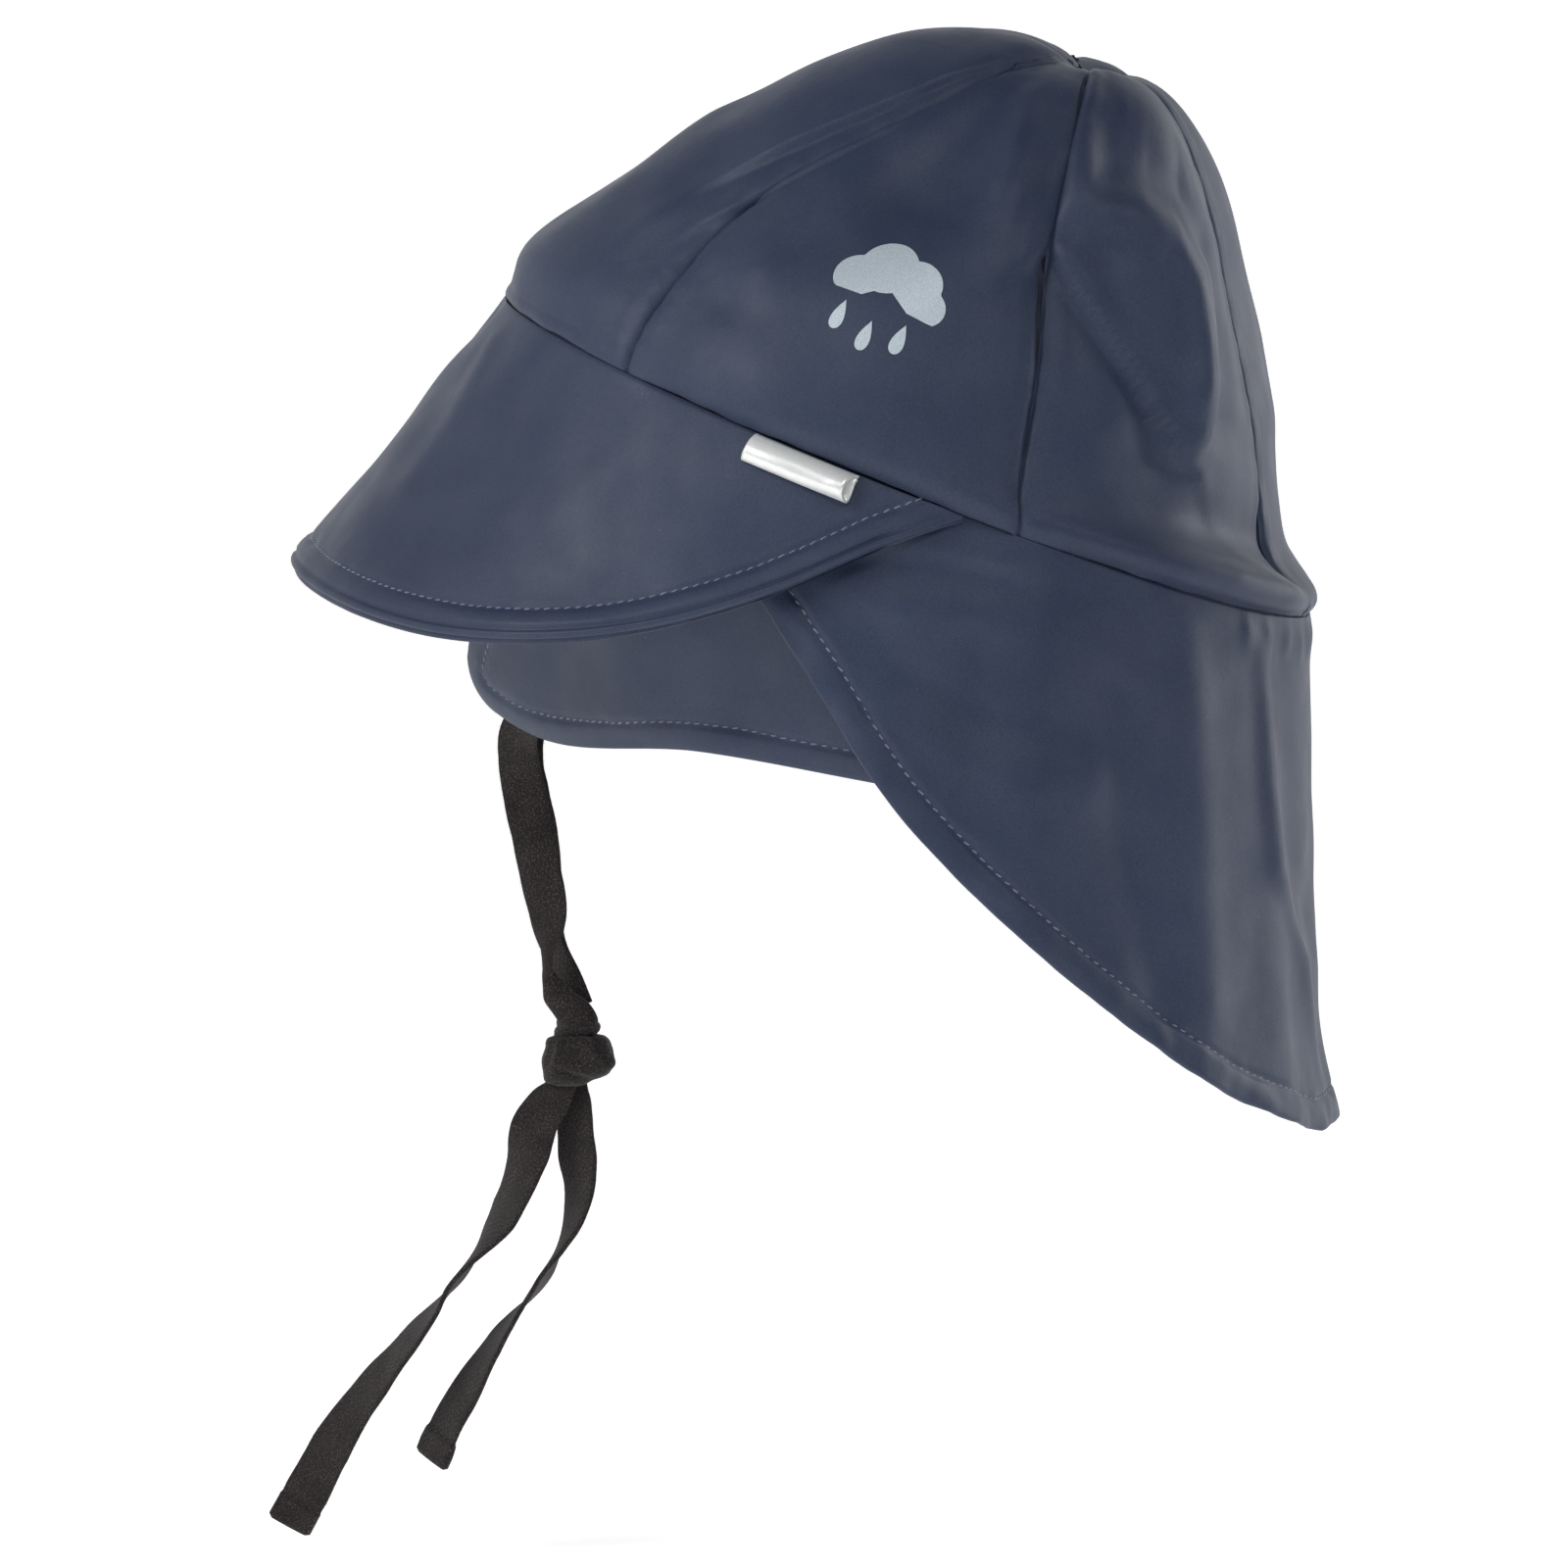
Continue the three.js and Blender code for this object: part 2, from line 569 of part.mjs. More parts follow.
function labelGeometry() {
  const section = new THREE.Shape(labelOutline(0));
  section.holes.push(new THREE.Path(labelOutline(LABEL.cloth)));
  const geometry = new THREE.ExtrudeGeometry(section, {
    depth: LABEL.length, steps: LABEL.steps, bevelEnabled: false,
  });
  const outward = new THREE.Vector3(LABEL_OUTWARD.x, LABEL_OUTWARD.y, LABEL_OUTWARD.z).normalize();
  const position = geometry.attributes.position;
  for (let k = 0; k < position.count; k += 1) {
    const along = position.getZ(k) * LABEL.mmPerArc;
    const cover = peakPoint(LABEL.fromAngle + radToDeg(along / BAND.halfWidth), -position.getY(k));
    const away = LABEL.bulge / 2 + LABEL.clear - position.getX(k);
    const p = cover.addScaledVector(outward, away);
    position.setXYZ(k, p.x, p.y, p.z);
  }
  geometry.computeVertexNormals();
  return geometry;
}

const group = new THREE.Group();

const PANELS = [
  { name: 'crown_back_right', seams: ['rightBack', 'rightRear'] },
  { name: 'crown_side_right', seams: ['rightRear', 'rightFront'] },
  { name: 'crown_front_right', seams: ['rightFront', 'front'] },
  { name: 'crown_front_left', seams: ['front', 'leftFront'] },
  { name: 'crown_side_left', seams: ['leftFront', 'leftRear'] },
  { name: 'crown_back_left', seams: ['leftRear', 'leftBack'] },
];
for (const { name, seams } of PANELS) {
  group.add(meshOf(name, crownPanel(seams), MATERIALS.cloth));
}

const peak = hemmedSheet(GRID.peak, (s) => lerp(-PEAK.endAngle, PEAK.endAngle, s), peakPoint,
  peakDepth);
group.add(meshOf('peak', peak, MATERIALS.cloth));

const neckFlap = hemmedSheet(GRID.neck, (s) => lerp(NECK_START, 360 - NECK_START, s), neckPoint,
  neckDepth);
group.add(meshOf('neck_flap', neckFlap, MATERIALS.cloth));

// The columns of an ear flap stand closer together near its corners.
for (const flap of [{ name: 'ear_flap_left', sign: 1 }, { name: 'ear_flap_right', sign: -1 }]) {
  const cornered = (s) => lerp(s, (1 - cos(PI * s)) / 2, EAR.cornerShare);
  const angleAt = (s) => flap.sign * lerp(EAR.frontAngle, EAR.rearAngle, cornered(s));
  const geometry = hemmedSheet(GRID.ear, angleAt, earPoint, earDepth);
  group.add(meshOf(flap.name, geometry, MATERIALS.cloth));
}

group.add(meshOf('side_label', labelGeometry(), MATERIALS.label));

group.add(meshOf('tie_left', tapeGeometry(TIE_LEFT_ROUTE, GRID.tie), MATERIALS.tape));
group.add(meshOf('tie_right', tapeGeometry(TIE_RIGHT_ROUTE, GRID.tie), MATERIALS.tape));
group.add(meshOf('tie_knot', knotGeometry(), MATERIALS.tape));
group.add(meshOf('tie_tail_long', tapeGeometry(TAIL_LONG_ROUTE, GRID.tailLong), MATERIALS.tape));
group.add(meshOf('tie_tail_short', tapeGeometry(TAIL_SHORT_ROUTE, GRID.tailShort), MATERIALS.tape));

export default group;
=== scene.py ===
import bpy
import numpy as np
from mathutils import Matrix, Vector, geometry
from mathutils.bvhtree import BVHTree
from mathutils.kdtree import KDTree


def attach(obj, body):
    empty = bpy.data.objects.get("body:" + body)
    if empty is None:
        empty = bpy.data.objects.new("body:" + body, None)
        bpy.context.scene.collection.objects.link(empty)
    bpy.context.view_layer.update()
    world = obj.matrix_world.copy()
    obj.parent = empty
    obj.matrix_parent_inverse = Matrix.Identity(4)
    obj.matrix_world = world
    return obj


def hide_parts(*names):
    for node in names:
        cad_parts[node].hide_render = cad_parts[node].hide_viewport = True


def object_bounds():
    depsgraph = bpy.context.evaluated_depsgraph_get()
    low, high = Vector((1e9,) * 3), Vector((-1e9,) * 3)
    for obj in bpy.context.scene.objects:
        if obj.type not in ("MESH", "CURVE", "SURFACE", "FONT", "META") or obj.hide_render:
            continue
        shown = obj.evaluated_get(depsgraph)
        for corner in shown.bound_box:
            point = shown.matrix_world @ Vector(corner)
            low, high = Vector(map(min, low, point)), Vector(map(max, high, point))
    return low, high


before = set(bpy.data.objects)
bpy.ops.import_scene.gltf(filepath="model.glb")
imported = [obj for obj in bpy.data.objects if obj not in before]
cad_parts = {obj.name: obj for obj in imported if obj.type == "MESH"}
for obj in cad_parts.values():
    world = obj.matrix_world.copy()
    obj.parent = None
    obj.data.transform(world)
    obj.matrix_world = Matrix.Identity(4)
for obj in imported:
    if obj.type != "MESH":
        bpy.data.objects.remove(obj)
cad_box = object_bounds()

# A child's sou'wester rain hat in matte coated cloth. Lengths are millimetres in the part's own
# frame, and meshes are made in metres. The surfaces of the solids are repeated here from their
# source, and get the folds, seams, hems and stitches that the photograph shows.

# The camera.
scene = bpy.context.scene
scene.view_settings.view_transform = "Standard"
LOOKS_AT = Vector((0, -0.0279, -0.0729))
TO_CAMERA = Vector((0.9601, 0.2753, 0.0488))
DISTANCE = 1.6
STANDS_AT = LOOKS_AT + DISTANCE * TO_CAMERA
lens = bpy.data.cameras.new("camera")
lens.lens = 167.06
lens.sensor_width = 36
lens.clip_end = 30
camera = bpy.data.objects.new("camera", lens)
camera.location = STANDS_AT
camera.rotation_euler = (LOOKS_AT - STANDS_AT).to_track_quat("-Z", "Y").to_euler()
scene.collection.objects.link(camera)
scene.camera = camera

# How far the front is raised, half the base seam's length and width, the thickness of the cloth,
# the gap below that seam, the width of a hem, and how many mm a degree round the crown counts as.
MM = 0.001
TILT = np.radians(21.75)
HALF_LENGTH, HALF_WIDTH = 95.0, 78.0
WALL, GAP, HEM = 1.5, 0.3, 6.3
DEGREE_MM = 1.3
norm = np.linalg.norm


def smoothstep(x, a, b):
    f = np.clip((np.asarray(x, float) - a) / (b - a), 0, 1)
    return f * f * (3 - 2 * f)


def mix(a, b, f):
    return a + (b - a) * f


def sind(angle):
    return np.sin(np.radians(angle))


def cosd(angle):
    return np.cos(np.radians(angle))


def bell(x, middle, width):
    return np.exp(-(((x - middle) / width) ** 2))


def unit(v):
    return v / np.maximum(norm(v, axis=-1, keepdims=True), 1e-12)


def smooth_read(x, y, at):
    """y at these places of x, on a smooth curve through the given points."""
    x, y = np.asarray(x, float), np.asarray(y, float)
    at = np.clip(at, x[0], x[-1])
    i = np.clip(np.searchsorted(x, at, side="right") - 1, 0, len(x) - 2)
    secant = np.diff(y) / np.diff(x)
    slope = np.concatenate([secant[:1], (secant[:-1] + secant[1:]) / 2, secant[-1:]])
    span = x[i + 1] - x[i]
    f = (at - x[i]) / span
    start = y[i] * (1 + 2 * f) * (1 - f) ** 2
    end = y[i + 1] * f * f * (3 - 2 * f)
    return start + end + span * f * (1 - f) * (slope[i] * (1 - f) - slope[i + 1] * f)


class Table:
    """Rows of numbers under named columns. Without a key the rows are evenly spaced from 0 to 1."""

    def __init__(self, names, *rows):
        self.column = dict(zip(names.split(), np.array(rows, float).T))

    def read(self, name, at, key=None):
        y = self.column[name]
        x = np.linspace(0, 1, len(y)) if key is None else self.column[key]
        return smooth_read(x, y, at)


def on_hat(forward, side, up):
    """A point given forward, sideways and square to the plane of the base seam."""
    y = -forward * np.cos(TILT) + up * np.sin(TILT)
    z = forward * np.sin(TILT) + up * np.cos(TILT)
    return np.stack(np.broadcast_arrays(side, y, z), -1)


def band_at(angle):
    forward, side = HALF_LENGTH * cosd(angle), HALF_WIDTH * sind(angle)
    reach = np.hypot(forward, side)
    return reach, forward / reach, side / reach


def to_line(angle, across, points):
    """How far each place is in mm from the line through these points, on which side of it, and how
    strong the line is there. A point is an angle, a depth or height and a strength, 1 if left out."""
    x, y = angle * DEGREE_MM, across
    points = [(p[0] * DEGREE_MM, *p[1:], 1.0)[:3] for p in points]
    best, side, strong = np.full(np.shape(x), 1e9), np.ones(np.shape(x)), np.ones(np.shape(x))
    for (x0, y0, s0), (x1, y1, s1) in zip(points[:-1], points[1:]):
        dx, dy = x1 - x0, y1 - y0
        along = np.clip(((x - x0) * dx + (y - y0) * dy) / (dx * dx + dy * dy), 0, 1)
        away = np.hypot(x - x0 - along * dx, y - y0 - along * dy)
        near = away < best
        best = np.where(near, away, best)
        side = np.where(near, np.sign(dx * (y - y0) - dy * (x - x0)), side)
        strong = np.where(near, mix(s0, s1, along), strong)
    return best, side, strong


def creases(angle, across, rows):
    """How far soft creases push the cloth out. A row is a width, a height and a line of points."""
    total = np.zeros(np.shape(angle))
    for width, height, line in rows:
        away, _, strong = to_line(angle, across, line)
        total += height * strong * bell(away, 0, width)
    return total


def lips(angle, across, rows):
    """How far folded lips push the cloth out. The cloth on the left of a row's line is raised, and
    on its right it slopes down to the line. A row is half the width of the step, how far the raised
    side reaches and its height, how far the low side reaches and its depth, and the line."""
    total = np.zeros(np.shape(angle))
    for width, reach, height, low_reach, low, line in rows:
        away, side, strong = to_line(angle, across, line)
        away = away * side
        raised = smoothstep(away, -width, width)
        total += height * strong * raised * np.exp(-np.maximum(away, 0) / reach)
        total -= low * strong * (1 - raised) * np.exp(-np.maximum(-away, 0) / low_reach)
    return total


def waves(points, size, seed, count=14):
    """An even, gentle unevenness between about -1 and 1, that repeats about every size mm."""
    rng = np.random.default_rng(seed)
    total = 0
    for k in range(count):
        way = unit(rng.normal(size=3)) * 2 * np.pi / (size * rng.uniform(0.6, 1.7))
        total = total + np.sin(points @ way + rng.uniform(0, 7))
    return total / np.sqrt(count)


# The crown's own surface, as high as this, with its top shifted back by so much.
CROWN_HEIGHT, CROWN_SHIFT = 92, 6.5
RIB = Table(
    "height front side back",
    (0, 1, 1, 1), (4, 1.01, 1.015, 0.99), (10, 1.005, 1.005, 0.885),
    (20, 0.945, 0.965, 0.805), (36, 0.825, 0.89, 0.697), (54, 0.7, 0.77, 0.56),
    (72, 0.55, 0.61, 0.42), (86, 0.375, 0.415, 0.28), (93, 0.19, 0.21, 0.15),
    (91, 0.016, 0.018, 0.016),
)
SEAMS = Table(
    "right_back right_rear right_front front left_front left_rear left_back",
    *((-180, a, b, 0, c, d, 180) for a, b, c, d in (
        (-120, -60, 60.5, 118.8), (-119.5, -60, 60, 118), (-119, -60, 59.5, 117),
        (-118, -59.5, 58.8, 115.8), (-116.5, -59, 57.8, 113.6), (-114, -60, 61, 109.8),
        (-112, -62, 68, 107), (-111, -64, 73.5, 104.8), (-110, -66, 79, 102.5),
        (-110, -66, 80, 102),
    )),
)
DENTS = (
    (8, 3.2, ((119, 60), (141, 30))), (13, 3, ((92, 86), (84, 60))),
    (14, -2.4, ((150, 30), (150, 55))), (13, 2.6, ((-100, 70), (-88, 48))),
)


def crown_rib(angle, place):
    endwise = cosd(angle) ** 2
    end = np.where(cosd(angle) > 0, RIB.read("front", place), RIB.read("back", place))
    reach = endwise * end + (1 - endwise) * RIB.read("side", place)
    return band_at(angle)[0] * reach, RIB.read("height", place)


def crown_point(angle, place, mid_share):
    r0, h0 = crown_rib(angle, np.maximum(place - 0.01, 0))
    r1, h1 = crown_rib(angle, np.minimum(place + 0.01, 1))
    radius, height = crown_rib(angle, place)
    run = unit(np.stack([r1 - r0, h1 - h0], -1))
    puff = mix(2.2, 5.5, smoothstep(180 - abs(angle), 0, 75))
    swell = puff * np.sin(np.pi * place**0.8) ** 0.8 * (mid_share - 0.45)
    dent = creases(angle, height, DENTS)
    out = swell - dent * smoothstep(place, 0, 0.2)
    radius = radius + out * run[..., 1]
    height = height - out * run[..., 0]
    _, forward, side = band_at(angle)
    return on_hat(forward * radius - CROWN_SHIFT * height / CROWN_HEIGHT, side * radius, height)


# The surfaces of the peak, the neck flap and the ear flaps. The peak ends at 111 degrees on both
# sides, and its last points lie just before that.
PEAK_TO, PEAK_LAST = 111, 110.9
PEAK_CURVE = Table("down out", (0, 0), (0.22, 0.076), (0.55, 0.185), (0.84, 0.288), (1, 0.347))
NECK_FROM, NECK_TO, NECK_LENGTH = 62, 298, 112
NECK_DROP = Table(
    "angle drop",
    (62, 4), (75, 21), (90, 45), (100, 63), (110, 75),
    (120, 84), (135, 94.5), (150, 102.5), (180, 110),
)
NECK_FOLDS = ((166, 5, 1.3), (176, 4, -0.5), (194, 5, 1.4), (132, 10, -1.8), (228, 10, -1.8))
EAR_ACROSS = Table(
    "place depth inward forward",
    (0, 85, 47, 16), (0.25, 86, 41, 13), (0.55, 71, 32, 10), (1, 58, 18, 6),
)
EAR_FROM, EAR_TO, EAR_CORNER = 50, 125, 12


def peak_depth(angle):
    share = 1 - np.clip(abs(angle) / PEAK_TO, 0, 1) ** 4.4
    straight = np.where(abs(angle) > 98, 1.35 * (PEAK_TO - abs(angle)), 0)
    return np.maximum(0.3 + 69.7 * share**1.5, straight)


def peak_point(angle, depth):
    reach, forward, side = band_at(angle)
    full = peak_depth(angle)
    flare = mix(0.85, 1, cosd(angle) ** 2)
    radius = reach + PEAK_CURVE.read("out", depth / full, "down") * full * flare
    return on_hat(forward * radius, side * radius, -GAP - depth)


def neck_depth(angle):
    late = 14 * (1 - smoothstep(angle, 190, 240))
    mirrored = np.where(angle <= 180, angle, np.minimum(360 - angle + late, 180))
    return NECK_DROP.read("drop", mirrored, "angle")


def neck_point(angle, depth):
    mirrored = np.where(angle <= 180, angle, 360 - angle)
    reach, forward, side = band_at(angle)
    radius = reach - (WALL + GAP) * (1 - smoothstep(mirrored, 112, 122))
    outward = on_hat(cosd(angle) / HALF_LENGTH, sind(angle) / HALF_WIDTH, 0)
    outward[..., 2] = 0
    outward = unit(outward)
    slope = 0.09 * sind(mirrored) ** 2 + 0.3 * np.maximum(0, -outward[..., 1])
    fold = sum(height * bell(angle, at, width) for at, width, height in NECK_FOLDS)
    away = slope * depth + 6 * (depth / NECK_LENGTH) ** 8 + fold * smoothstep(depth, 4, 60)
    start = on_hat(forward * radius, side * radius, -GAP)
    start[..., 2] -= depth
    return start + outward * away[..., None]


def ear_place(angle):
    return (abs(angle) - EAR_FROM) / (EAR_TO - EAR_FROM)


def ear_depth(angle):
    place = ear_place(angle)
    full = EAR_ACROSS.read("depth", place, "place")
    along = np.radians(EAR_TO - EAR_FROM) * HALF_WIDTH
    from_end = np.clip(EAR_CORNER - np.minimum(place, 1 - place) * along, 0, EAR_CORNER)
    return full - EAR_CORNER + np.sqrt(EAR_CORNER**2 - from_end**2)


def ear_point(angle, depth):
    place = ear_place(angle)
    reach, forward, side = band_at(angle)
    radius = reach - 2 * (WALL + GAP)
    share = depth / 80
    curl = EAR_ACROSS.read("inward", place, "place") * share**1.7
    pull = np.where(angle < 0, 5, 0)
    ahead = (EAR_ACROSS.read("forward", place, "place") + pull) * share
    return on_hat(forward * radius + ahead, side * radius - np.sign(angle) * curl, -GAP - depth)


# Materials.
def linear(r, g, b):
    """A colour as a screen shows it, as the shader takes it."""
    c = np.array((r, g, b)) / 255
    return tuple(np.where(c <= 0.04045, c / 12.92, ((c + 0.055) / 1.055) ** 2.4)) + (1.0,)


class Shader:
    """A material under a name, with short calls for its nodes and links."""

    def __init__(self, name, roughness, **sockets):
        self.material = bpy.data.materials.new(name)
        self.material.use_nodes = True
        self.nodes = self.material.node_tree.nodes
        self.base = self.nodes["Principled BSDF"]
        self.base.inputs["Roughness"].default_value = roughness
        for socket, value in sockets.items():
            self.base.inputs[socket.replace("_", " ")].default_value = value

    def node(self, kind, vector=None, **values):
        n = self.nodes.new("ShaderNode" + kind)
        for name, value in values.items():
            if hasattr(n, name):
                setattr(n, name, value)
            else:
                n.inputs[name.replace("_", " ")].default_value = value
        if vector:
            self.link(vector, n.inputs["Vector"])
        return n

    def link(self, a, b):
        self.material.node_tree.links.new(a, b)

    def place(self, kind="Object"):
        return self.node("TexCoord").outputs[kind]

    def noise(self, place, scale, detail):
        return self.node("TexNoise", place, Scale=scale, Detail=detail).outputs["Fac"]

    def ramp(self, value, *stops):
        """A colour ramp from value. Each stop is a position and a colour."""
        n = self.node("ValToRGB")
        for element, (at, colour) in zip(n.color_ramp.elements, stops):
            element.position = at
            element.color = colour if hasattr(colour, "__len__") else (colour, colour, colour, 1)
        for at, colour in stops[2:]:
            n.color_ramp.elements.new(at).color = colour
        self.link(value, n.inputs["Fac"])
        return n.outputs["Color"]

    def blend(self, factor, a, b, kind="MIX"):
        n = self.node("Mix", data_type="RGBA", blend_type=kind)
        for socket, value in ((n.inputs[0], factor), (n.inputs[6], a), (n.inputs[7], b)):
            if isinstance(value, bpy.types.NodeSocket):
                self.link(value, socket)
            else:
                socket.default_value = value
        return n.outputs[2]

    def times(self, a, b):
        return self.blend(1.0, a, b, "MULTIPLY")

    def paint(self, colour):
        self.link(colour, self.base.inputs["Base Color"])

    def bump(self, *layers):
        """Bumps over each other. Each layer is a height and how deep it is in millimetres."""
        last = None
        for height, depth in layers:
            n = self.node("Bump", Distance=depth * MM)
            self.link(height, n.inputs["Height"])
            if last:
                self.link(last, n.inputs["Normal"])
            last = n.outputs["Normal"]
        self.link(last, self.base.inputs["Normal"])


def cloth_material():
    s = Shader("coated_cloth", 0.54, Sheen_Weight=0.03, Sheen_Roughness=0.5, Specular_IOR_Level=0.36)
    at = s.place()
    deep, pale = (0.0195, 0.0303, 0.0635, 1), (0.0245, 0.038, 0.076, 1)
    navy = s.ramp(s.noise(at, 14, 3), (0.3, deep), (0.7, pale))
    cool, warm = (0.85, 0.9, 0.96, 1), (1.15, 1.1, 1.05, 1)
    blots = s.ramp(s.noise(at, 70, 4), (0.35, cool), (0.65, warm))
    grain = s.noise(at, 2600, 3)
    colour = s.times(s.times(navy, blots), s.ramp(grain, (0.3, 0.78), (0.7, 1.22)))
    speck = s.node("TexVoronoi", at, Scale=260.0)
    dots = s.ramp(speck.outputs["Distance"], (0.02, 1.0), (0.035, 0.0))
    few = s.ramp(speck.outputs["Color"], (0.8, 0.0), (0.82, 1.0))
    s.paint(s.blend(s.times(dots, few), colour, linear(112, 118, 130)))
    s.link(s.ramp(s.noise(at, 90, 4), (0.3, 0.48), (0.7, 0.58)), s.base.inputs["Roughness"])
    s.bump((s.noise(at, 60, 3), 0.25), (s.noise(at, 420, 3), 0.05), (grain, 0.03))
    return s.material


def tape_material():
    s = Shader("tape", 0.95, Sheen_Weight=0.08, Sheen_Roughness=0.6, Specular_IOR_Level=0.2)
    at = s.place("UV")
    rib = s.node("TexWave", at, Scale=330.0, Distortion=1.2, bands_direction="DIAGONAL")
    rib.inputs["Detail Scale"].default_value = 3.0
    fibres = s.noise(at, 2200, 4)
    black, grey = (0.008, 0.007, 0.0075, 1), (0.017, 0.0145, 0.015, 1)
    yarn = s.ramp(fibres, (0.36, black), (0.53, grey), (0.63, (0.06, 0.044, 0.04, 1)))
    s.paint(s.times(yarn, s.ramp(s.noise(at, 160, 3), (0.3, 0.7), (0.7, 1.25))))
    s.bump((rib.outputs["Fac"], 0.05), (s.noise(at, 700, 3), 0.15), (fibres, 0.12))
    return s.material


def thread_material():
    s = Shader("thread", 0.6, Sheen_Weight=0.3, Specular_IOR_Level=0.3)
    at = s.place()
    s.paint(s.ramp(s.noise(at, 900, 2), (0.3, linear(96, 101, 128)), (0.7, linear(124, 129, 158))))
    s.bump((s.noise(at, 4000, 1), 0.04))
    return s.material


def label_material():
    s = Shader("label", 0.3, Metallic=0.3, Specular_IOR_Level=0.6)
    at = s.place("UV")
    weave = s.node("TexWave", at, Scale=900.0, bands_direction="X")
    s.paint(s.ramp(s.noise(at, 700, 3), (0.3, linear(230, 232, 231)), (0.7, linear(238, 240, 239))))
    s.bump((weave.outputs["Fac"], 0.01))
    return s.material


def print_material():
    s = Shader("print", 0.42, Metallic=0.15, Specular_IOR_Level=0.5)
    grain = s.noise(s.place(), 2400, 3)
    s.paint(s.ramp(grain, (0.3, linear(166, 178, 188)), (0.7, linear(188, 200, 208))))
    s.bump((grain, 0.04))
    return s.material


CLOTH, TAPE, THREAD = cloth_material(), tape_material(), thread_material()
LABEL, PRINT = label_material(), print_material()


# Meshes.
def mesh_object(name, points, faces, material, uv=None, nodes=()):
    mesh = bpy.data.meshes.new(name)
    mesh.from_pydata((np.asarray(points) * MM).tolist(), [], [list(map(int, f)) for f in faces])
    mesh.materials.append(material)
    mesh.polygons.foreach_set("use_smooth", [True] * len(mesh.polygons))
    if uv is not None:
        corner = np.zeros(len(mesh.loops), int)
        mesh.loops.foreach_get("vertex_index", corner)
        mesh.uv_layers.new(name="cloth").data.foreach_set("uv", (np.asarray(uv)[corner] * MM).ravel())
    obj = bpy.data.objects.new(name, mesh)
    scene.collection.objects.link(obj)
    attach(obj, "root")
    if nodes:
        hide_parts(*nodes)
    return obj


def numbered(columns, rows):
    return np.arange(columns * rows).reshape(columns, rows)


def quads(ids):
    """The faces between neighbouring rows of point numbers."""
    return np.stack([ids[:-1, :-1], ids[1:, :-1], ids[1:, 1:], ids[:-1, 1:]], -1).reshape(-1, 4)


def border(ids):
    """The point numbers round a sheet."""
    return np.concatenate([ids[:, 0], ids[-1, 1:], ids[-2::-1, -1], ids[0, -2:0:-1]])


def tube_faces(rings, sides):
    """The faces of a tube of rings of points, with its two ends."""
    ids = numbered(rings, sides)
    ends = [ids[0, ::-1].tolist(), ids[-1].tolist()]
    return quads(np.concatenate([ids, ids[:, :1]], 1)).tolist() + ends


def closed(points, faces):
    """The same faces, turned over if they face inward."""
    p = np.asarray(points)
    volume = 0
    for f in faces:
        for k in range(1, len(f) - 1):
            volume += np.dot(p[f[0]], np.cross(p[f[k]], p[f[k + 1]]))
    return faces if volume > 0 else [f[::-1] for f in faces]


def pairs(a, b):
    return np.stack(np.broadcast_arrays(a, b), -1).reshape(-1, 2)


def tape_tube(name, grid, along, across, nodes=()):
    """A tube of tape. Its cloth coordinates are along and across the tape."""
    points = grid.reshape(-1, 3)
    faces = closed(points, tube_faces(*grid.shape[:2]))
    return mesh_object(name, points, faces, TAPE, pairs(along, across), nodes)


def small_tubes(name, points, shape, material):
    """Many small tubes in one piece, each with rings and sides as shape says."""
    one = closed(points[0], tube_faces(*shape))
    faces = [[c + points.shape[1] * k for c in f] for k in range(len(points)) for f in one]
    return mesh_object(name, points.reshape(-1, 3), faces, material)


def sheet_body(name, node, outer, inner, rings, material, slot, uv=None):
    """A closed body between two sheets of points, with rings of points round its rim."""
    ids = numbered(*outer.shape[:2])
    loop = border(ids)
    points = np.concatenate([outer.reshape(-1, 3), inner.reshape(-1, 3)] + rings)
    loops = [2 * ids.size + k * len(loop) + np.arange(len(loop)) for k in range(len(rings))]
    loops = [loop] + loops + [loop + ids.size]
    rim = quads(np.array([np.append(k, k[0]) for k in loops]))
    faces = np.concatenate([quads(ids), quads(ids + ids.size)[:, ::-1], rim])
    return mesh_object(name, points, closed(points, faces.tolist()), material, uv, [node])


HEAD = np.array([0, 5.0, 0])


def normals_of(grid):
    """The directions square to a sheet, away from the head."""
    n = unit(np.cross(np.gradient(grid, axis=0), np.gradient(grid, axis=1)))
    away = (grid - HEAD) * np.array([1, 1, 0.2])
    return n if np.sum(n * away) > 0 else -n


def pushed(grid, form):
    return grid + normals_of(grid) * form[..., None]


def shell(name, outer, thick, rims, notch=0.0):
    """A closed body of cloth on the head's side of a sheet of points. Rims says how far each of its
    four borders rounds outward, as a share of half the thickness: first column, last column, first
    row, last row. A notch parts the rim into two layers."""
    inner = outer - normals_of(outer) * np.broadcast_to(thick, outer.shape[:2])[..., None]
    loop = border(numbered(*outer.shape[:2]))
    du, dv = unit(np.gradient(outer, axis=0)), unit(np.gradient(outer, axis=1))
    away = np.zeros_like(outer)
    away[0] -= du[0] * rims[0]
    away[-1] += du[-1] * rims[1]
    away[:, 0] -= dv[:, 0] * rims[2]
    away[:, -1] += dv[:, -1] * rims[3]
    o, i = outer.reshape(-1, 3)[loop], inner.reshape(-1, 3)[loop]
    away = away.reshape(-1, 3)[loop] * norm(o - i, axis=1, keepdims=True) / 2
    rings = []
    steps = 20 if notch else 6
    for k in range(1, steps):
        turn = np.pi * k / steps
        lower_layer, groove = 0.6 * bell(turn, 2.2, 0.4), bell(turn, np.pi / 2, 0.26)
        reach = np.sin(turn) + notch * (lower_layer - groove)
        rings.append((o + i) / 2 + (o - i) / 2 * np.cos(turn) + away * reach)
    return sheet_body(name, name, outer, inner, rings, CLOTH, "coated_cloth")


def run_length(line):
    """How far along a line of points each of them is."""
    return np.concatenate([[0], np.cumsum(norm(np.diff(line, axis=0), axis=1))])


